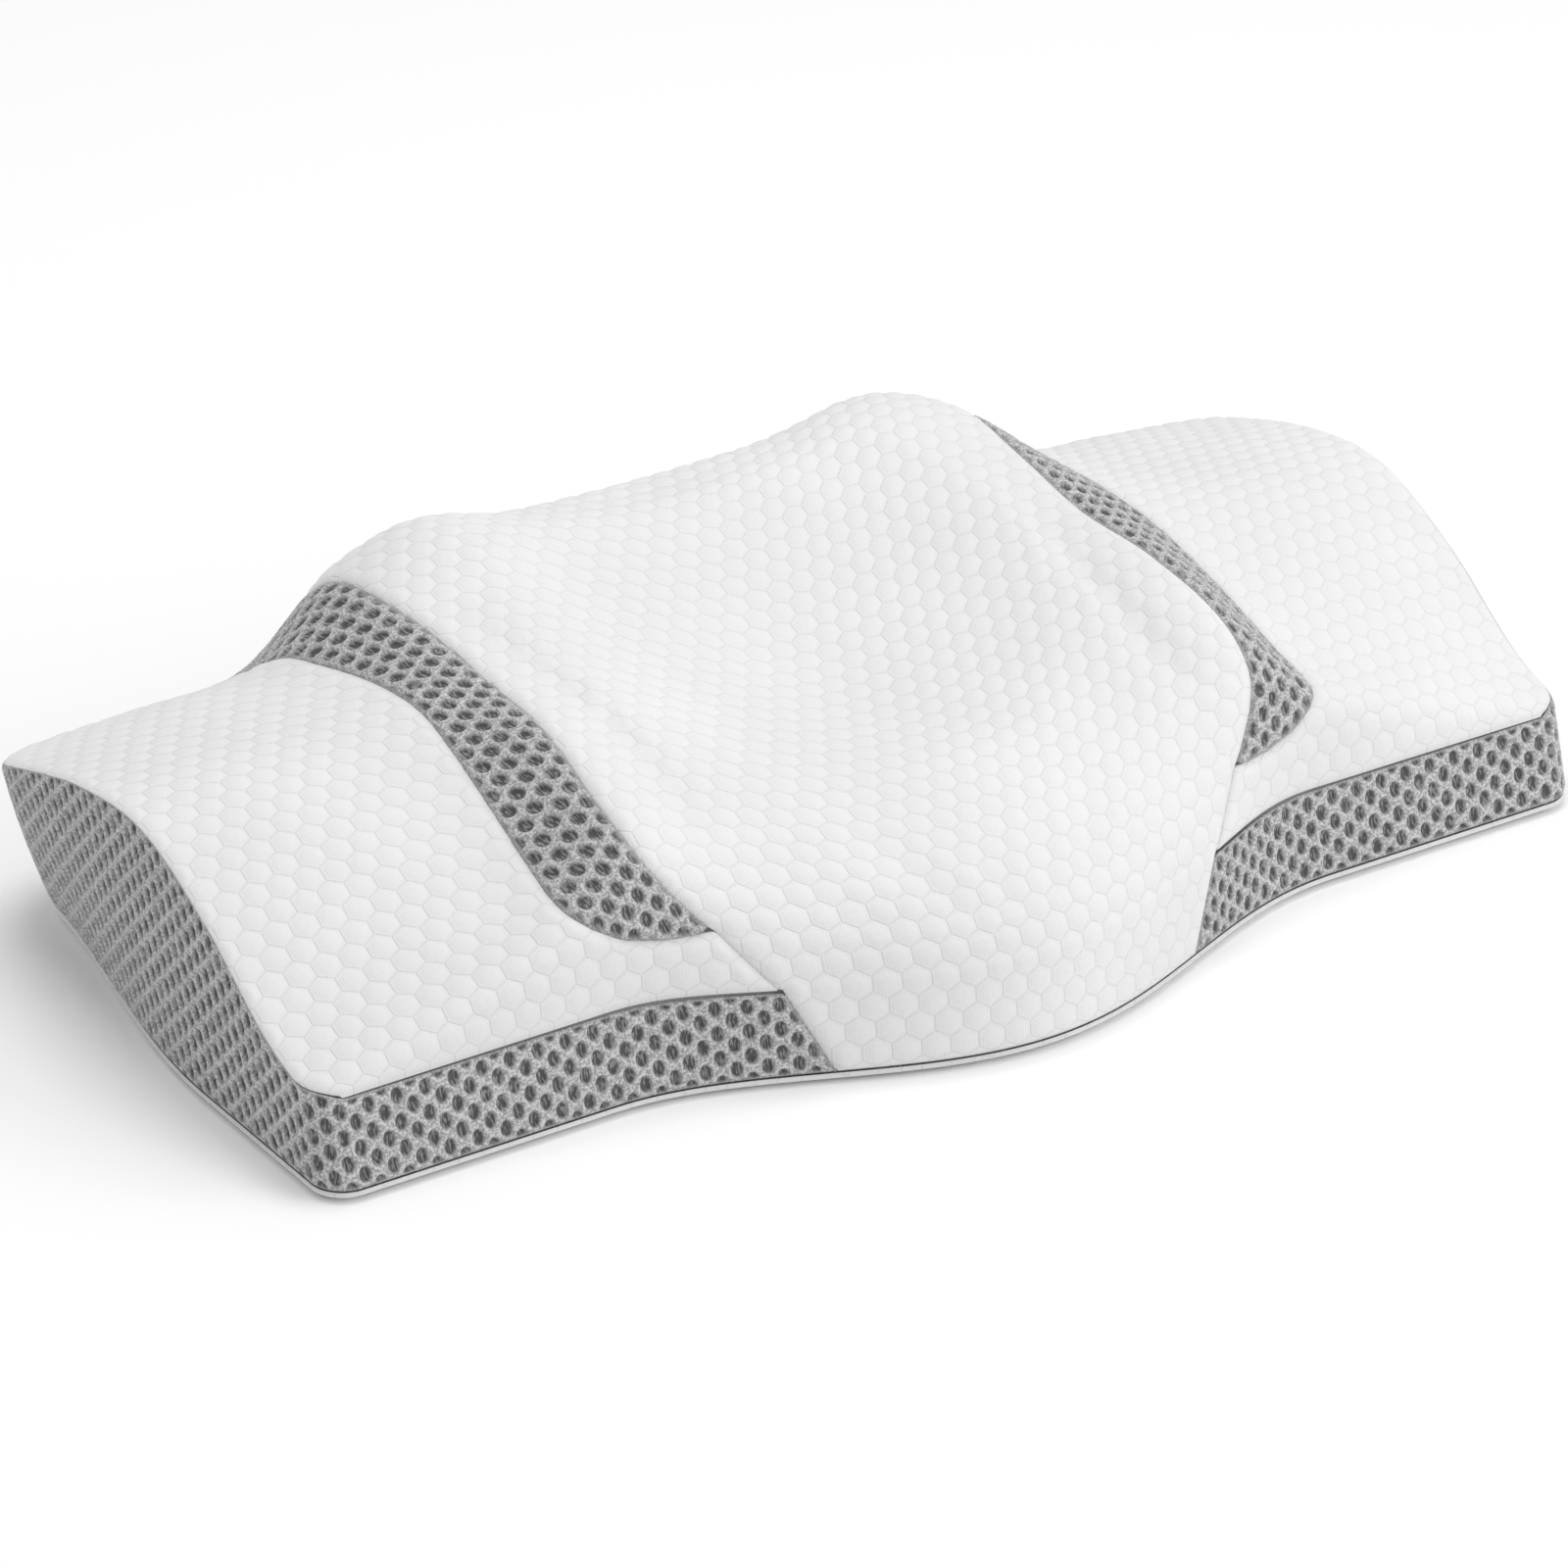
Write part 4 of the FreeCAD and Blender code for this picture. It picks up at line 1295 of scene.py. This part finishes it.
def tube(path, outward, radius, sides=5):
    """Points and faces of a closed-ended tube along a path, with a direction across it at each point."""
    along = np.gradient(path, axis=0)
    along /= np.linalg.norm(along, axis=1)[:, None]
    second = np.cross(along, outward)
    second /= np.linalg.norm(second, axis=1)[:, None]
    first = np.cross(second, along)
    angles = np.arange(sides) * 2 * np.pi / sides
    points = path[:, None] + radius * (np.cos(angles)[None, :, None] * first[:, None]
                                       + np.sin(angles)[None, :, None] * second[:, None])
    index = np.arange(len(path) * sides).reshape(-1, sides)
    after = np.roll(index, -1, axis=1)
    faces = np.stack([index[:-1], after[:-1], after[1:], index[1:]], 2).reshape(-1, 4).tolist()
    return points.reshape(-1, 3), faces + [index[0, ::-1].tolist(), index[-1].tolist()]


class PILLOW_OT_zip(bpy.types.Operator):
    """Makes the zip's woven tapes, its coils and its stops"""
    bl_idname = "pillow.zip"
    bl_label = "Zip tapes and coils"

    def execute(self, context):
        z = context.scene.pillow_zip
        woven = cloth_material("zip tape", z.tape, 0.0008, 0.7, 0.05, 0.00025)
        nylon = worn_material("zip coil", z.coil, 0.35, 0.0)
        metal = zip_metal()
        for name, side in (("upper", 1), ("lower", -1)):
            self.tape("tape_" + name, "zip_tape_" + name, side, woven)
            self.coil("coil_" + name, "zip_coil_" + name, side, z, nylon)
            self.stop("top_stop_" + name, "zip_top_stop_" + name, metal)
        self.stop("bottom_stop", "zip_bottom_stop", metal)
        return {"FINISHED"}

    @staticmethod
    def tape(name, node, side, material):
        """A woven tape with a thicker edge under the coil and a slight waviness."""
        low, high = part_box(node)
        near, far = (low.z, high.z + 0.0012) if side > 0 else (high.z, low.z - 0.0008)
        xs = np.linspace(low.x, high.x, 331)
        share = np.linspace(0.0, 1.0, 10)[:, None]
        zs = near + (far - near) * share + 0.0 * xs
        cord = 0.00022 * np.exp(-((share - 0.06) / 0.07) ** 2)
        wave = 0.00010 * np.sin(xs * 61.0 + 2.0 * share) * share
        ys = high.y - 0.0003 + cord + wave
        points = np.stack([xs + 0.0 * zs, ys, zs], 2)
        faces = grid_faces(*points.shape[:2])
        if side > 0:
            faces = faces[:, ::-1]
        made = new_object(name, points.reshape(-1, 3), faces.tolist())
        finish_mesh(made, points.reshape(-1, 3)[:, [0, 2]])
        only(made)
        finish_with(made, "SOLIDIFY", thickness=0.0005, offset=-1.0)
        attach(made, "pillow", [node], material)

    @staticmethod
    def coil(name, node, side, z, material):
        """A coil of nylon wire whose loops are a little squared."""
        low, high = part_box(node)
        turns = int((high.x - low.x) / z.pitch)
        angle = np.linspace(0.0, 2.0 * np.pi * turns, turns * 10 + 1)
        middle_y = 0.5 * (low.y + high.y)
        middle_z = 0.5 * (low.z + high.z) - side * 0.0001
        reach_y = 0.5 * (high.y - low.y) - z.wire
        reach_z = 0.5 * (high.z - low.z) - z.wire + 0.0001
        outward = np.stack([0.0 * angle, np.cos(angle), side * np.sin(angle)], 1)
        squared = 1.0 / np.maximum(np.abs(np.cos(angle)), np.abs(np.sin(angle))) ** 0.5
        snug = 0.96
        path = np.stack([low.x + (high.x - low.x) * angle / angle[-1],
                         middle_y + reach_y * np.cos(angle) * squared * snug,
                         middle_z + side * reach_z * np.sin(angle) * squared * snug], 1)
        points, faces = tube(path, outward, z.wire)
        made = new_object(name, points, faces)
        only(made)
        bpy.ops.object.mode_set(mode="EDIT")
        bpy.ops.mesh.select_all(action="SELECT")
        bpy.ops.mesh.normals_make_consistent(inside=False)
        bpy.ops.object.mode_set(mode="OBJECT")
        finish_mesh(made, points[:, [0, 2]])
        attach(made, "pillow", [node], material)

    @staticmethod
    def stop(name, node, material):
        """A folded metal stop, pinched in its middle."""
        low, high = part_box(node)
        made = slab(name, low, high, 0.0004, 0.00012, axis=0)
        middle = (low + high) / 2
        groove = slab("groove", (middle.x - 0.0005, high.y - 0.00035, low.z - 0.001),
                      (middle.x + 0.0005, high.y + 0.001, high.z + 0.001), 0.0, 0.0001)
        carve(made, groove)
        made = joined(name, [made])
        attach(made, "pillow", [node], material)


class PILLOW_OT_slider(bpy.types.Operator):
    """Makes the zip's slider: two plates, flanges, the divider between the coils and the crown"""
    bl_idname = "pillow.slider"
    bl_label = "Slider"

    def execute(self, context):
        low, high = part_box("zip_slider")
        coil_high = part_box("zip_coil_upper")[1]
        tape_low, tape_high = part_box("zip_tape_upper")
        middle = (low + high) / 2
        clear = 0.0003
        plate = 0.001
        face = coil_high.y + clear
        rear = tape_low.y - clear
        reach = coil_high.z + clear - middle.z
        parts = [slab("plate", (low.x, y, low.z), (high.x, y + plate, high.z), 0.0022, 0.00025)
                 for y in (face, rear - plate)]
        for side in (-1, 1):
            a, b = middle.z + side * reach, middle.z + side * (reach + plate)
            parts.append(slab("flange", (low.x + 0.0020, tape_high.y + clear, min(a, b)),
                              (high.x - 0.0020, face + 0.0002, max(a, b)), 0.0, 0.0002))
        parts.append(slab("divider", (high.x - 0.004, rear - 0.0002, middle.z - 0.0003),
                          (high.x - 0.001, face + 0.0002, middle.z + 0.0003), 0.0, 0.00012))
        crown_low, crown_high = middle.x - 0.004, middle.x + 0.004
        top = high.y
        arch = slab("crown", (crown_low, face + 0.0008, middle.z - 0.0008),
                    (crown_high, top, middle.z + 0.0008), 0.0, 0.00018)
        eye = slab("eye", (crown_low + 0.0014, face + 0.0010, middle.z - 0.002),
                   (crown_high - 0.0014, top - 0.001, middle.z + 0.002), 0.00035, 0.0001, axis=2)
        carve(arch, eye)
        only(arch)
        bpy.ops.object.mode_set(mode="EDIT")
        pick_edges(lambda a, b: abs(a.y - top) < 0.0004 and abs(b.y - top) < 0.0004 and abs(a.x - b.x) < 1e-5
                   and min(abs(a.x - crown_low), abs(a.x - crown_high)) < 0.0002)
        bpy.ops.mesh.bevel(offset=0.0007, segments=3, affect="EDGES")
        bpy.ops.object.mode_set(mode="OBJECT")
        parts.append(arch)
        made = joined("slider_body", parts)
        attach(made, "slider", ["zip_slider"], zip_metal())
        return {"FINISHED"}


class PILLOW_OT_pull(bpy.types.Operator):
    """Makes the pull tab that hangs from the slider's crown"""
    bl_idname = "pillow.pull"
    bl_label = "Pull tab"

    def execute(self, context):
        low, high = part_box("zip_pull")
        middle = (low + high) / 2
        axle_radius = 0.0005
        pivot_x = high.x - axle_radius
        bpy.ops.object.select_all(action="DESELECT")
        bpy.ops.mesh.primitive_cube_add(size=1.0, location=((low.x + pivot_x) / 2, middle.y, middle.z),
                                        scale=(pivot_x - low.x, high.y - low.y, high.z - low.z))
        tab = bpy.context.object
        bpy.ops.object.transform_apply(location=True, rotation=True, scale=True)
        waist = low.x + 0.0215
        bpy.ops.object.mode_set(mode="EDIT")
        bpy.ops.mesh.select_all(action="SELECT")
        bpy.ops.mesh.bisect(plane_co=(waist, 0, 0), plane_no=(1, 0, 0))
        pick_edges(lambda a, b: abs(a.x - low.x) < 1e-5 and abs(b.x - low.x) < 1e-5)
        bpy.ops.transform.resize(value=(1.0, 1.0, 5.0 / 7.0), center_override=(low.x, middle.y, middle.z))
        pick_edges(lambda a, b: abs(a.x - low.x) < 1e-5 and abs(b.x - low.x) < 1e-5 and abs(a.z - b.z) < 1e-6)
        bpy.ops.mesh.bevel(offset=0.0019, segments=5, affect="EDGES")
        pick_faces(lambda c, n: abs(n.y) > 0.9 and c.x < waist)
        bpy.ops.mesh.inset(thickness=0.0009, depth=-0.00015)
        bpy.ops.mesh.select_mode(type="EDGE")
        bpy.ops.mesh.select_all(action="DESELECT")
        bpy.ops.mesh.edges_select_sharp(sharpness=math.radians(50.0))
        bpy.ops.mesh.bevel(offset=0.00010, segments=2, affect="EDGES")
        bpy.ops.object.mode_set(mode="OBJECT")
        eye = slab("eye", (pivot_x - 0.0052, low.y - 0.001, middle.z - 0.0014),
                   (pivot_x - axle_radius, high.y + 0.001, middle.z + 0.0014), 0.0007, 0.00005)
        carve(tab, eye)
        bpy.ops.object.select_all(action="DESELECT")
        bpy.ops.mesh.primitive_cylinder_add(vertices=24, radius=axle_radius, depth=high.z - low.z,
                                            location=(pivot_x, middle.y, middle.z))
        axle = bpy.context.object
        bpy.ops.object.transform_apply(location=True, rotation=True, scale=True)
        bpy.ops.object.mode_set(mode="EDIT")
        bpy.ops.mesh.select_all(action="DESELECT")
        bpy.ops.mesh.edges_select_sharp(sharpness=math.radians(60.0))
        bpy.ops.mesh.bevel(offset=0.00012, segments=2, affect="EDGES")
        bpy.ops.object.mode_set(mode="OBJECT")
        made = joined("pull_tab", [tab, axle])
        attach(made, "pull", ["zip_pull"], zip_metal())
        return {"FINISHED"}


class PILLOW_OT_label(bpy.types.Operator):
    """Makes the blank folded label that is sewn into the base seam"""
    bl_idname = "pillow.label"
    bl_label = "Blank label"

    def execute(self, context):
        low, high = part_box("care_label")
        gap = 0.00035
        rise = np.linspace(low.z, high.z - 0.0004, 34)
        turn = np.linspace(-0.5 * np.pi, 0.5 * np.pi, 7)[1:-1]
        near = np.full(rise.shape, low.y + 0.0001)
        ys = np.concatenate([near, near[0] + 0.5 * gap * (1 + np.sin(turn)), (near + gap)[::-1]])
        zs = np.concatenate([rise, rise[-1] + 0.5 * gap * np.cos(turn), rise[::-1]])
        run = np.concatenate([[0.0], np.cumsum(np.hypot(np.diff(ys), np.diff(zs)))])
        xs = np.linspace(low.x, high.x, 27)[:, None]
        share = (zs - low.z) / (high.z - low.z)
        curl = 0.0016 * share ** 2 * (0.6 + 0.4 * np.sin((xs - low.x) * 170.0))
        points = np.stack([xs + 0.0 * zs, ys + curl, zs + 0.0 * xs], 2)
        label = new_object("blank_label", points.reshape(-1, 3), grid_faces(*points.shape[:2]).tolist())
        finish_mesh(label, np.stack(np.broadcast_arrays(xs, run), 2).reshape(-1, 2))
        only(label)
        finish_with(label, "SOLIDIFY", thickness=0.00012, offset=0.0)
        satin = cloth_material("label satin", context.scene.pillow_zip.satin, 0.0005, 0.45, 0.0)
        attach(label, "pillow", ["care_label"], satin)
        return {"FINISHED"}


class PILLOW_OT_stage(bpy.types.Operator):
    """Sets the floor, the light and the camera"""
    bl_idname = "pillow.stage"
    bl_label = "Stage"

    def execute(self, context):
        look = context.scene.pillow_stage
        bpy.ops.object.select_all(action="DESELECT")
        bpy.ops.mesh.primitive_plane_add(size=40.0, location=(0.0, 0.0, -0.0004))
        floor = context.object
        floor.name = "floor"
        material, tree, shader = surface("pale floor", 0.75)
        tone = np.array(look.floor)
        tree.links.new(blend_colour(tree, cloudy(tree, 1.2), tone * 0.995, tone), shader.inputs["Base Color"])
        floor.data.materials.append(material)
        world = bpy.data.worlds.new("studio")
        world.use_nodes = True
        background = world.node_tree.nodes["Background"]
        background.inputs[0].default_value = (1.0, 1.0, 1.0, 1.0)
        background.inputs[1].default_value = look.sky
        context.scene.world = world
        lights = (("key", (0.1, 0.3, 2.75), 1.6, look.key), ("fill", (1.9, -2.3, 1.4), 2.6, look.fill))
        for name, place, size, power in lights:
            lamp = bpy.data.lights.new(name, "AREA")
            lamp.shape = "DISK"
            lamp.size = size
            lamp.energy = power
            made = bpy.data.objects.new(name, lamp)
            made.location = place
            away = Vector(place) - Vector((0.0, 0.0, 0.05))
            made.rotation_euler = away.to_track_quat("Z", "Y").to_euler()
            context.scene.collection.objects.link(made)
        context.scene.view_settings.view_transform = "Standard"
        camera = bpy.data.objects.new("camera", bpy.data.cameras.new("camera"))
        a, e = look.azimuth, look.elevation
        back = Vector((math.sin(a) * math.cos(e), -math.cos(a) * math.cos(e), math.sin(e)))
        looked_at = Vector((-0.0065, 0.0113, 0.040))
        camera.location = looked_at + back * look.distance
        camera.rotation_euler = back.to_track_quat("Z", "Y").to_euler()
        camera.data.lens = look.lens
        camera.data.sensor_width = 36.0
        camera.data.clip_end = 100.0
        context.scene.collection.objects.link(camera)
        context.scene.camera = camera
        return {"FINISHED"}


STEPS = (PILLOW_OT_stuffing, PILLOW_OT_quilted_panels, PILLOW_OT_base_panel, PILLOW_OT_mesh_panels,
         PILLOW_OT_filling, PILLOW_OT_zip, PILLOW_OT_slider, PILLOW_OT_pull, PILLOW_OT_label, PILLOW_OT_stage)
GROUPS = (("pillow_shape", PillowShape), ("pillow_cover", CoverFinish), ("pillow_filling", FillingFinish),
          ("pillow_zip", ZipFinish), ("pillow_stage", StageLook))


class PILLOW_PT_sidebar(bpy.types.Panel):
    """Lists the pillow's sizes and pieces"""
    bl_label = "Contoured pillow"
    bl_idname = "PILLOW_PT_sidebar"
    bl_space_type = "VIEW_3D"
    bl_region_type = "UI"
    bl_category = "Pillow"

    def draw(self, context):
        for step in STEPS:
            self.layout.operator(step.bl_idname)
        for name, kind in GROUPS:
            box = self.layout.box()
            for prop in kind.__annotations__:
                box.prop(getattr(context.scene, name), prop)


def register():
    for kind in (*(k for _, k in GROUPS), *STEPS, PILLOW_PT_sidebar):
        bpy.utils.register_class(kind)
    for name, kind in GROUPS:
        setattr(bpy.types.Scene, name, bpy.props.PointerProperty(type=kind))


def unregister():
    for name, _ in GROUPS:
        delattr(bpy.types.Scene, name)
    for kind in (PILLOW_PT_sidebar, *reversed(STEPS), *(k for _, k in reversed(GROUPS))):
        bpy.utils.unregister_class(kind)


def main():
    """Builds every piece and the stage."""
    register()
    bpy.ops.pillow.stuffing()
    bpy.ops.pillow.quilted_panels()
    bpy.ops.pillow.base_panel()
    bpy.ops.pillow.mesh_panels()
    bpy.ops.pillow.filling()
    bpy.ops.pillow.zip()
    bpy.ops.pillow.slider()
    bpy.ops.pillow.pull()
    bpy.ops.pillow.label()
    bpy.ops.pillow.stage()


if __name__ == "__main__":
    main()
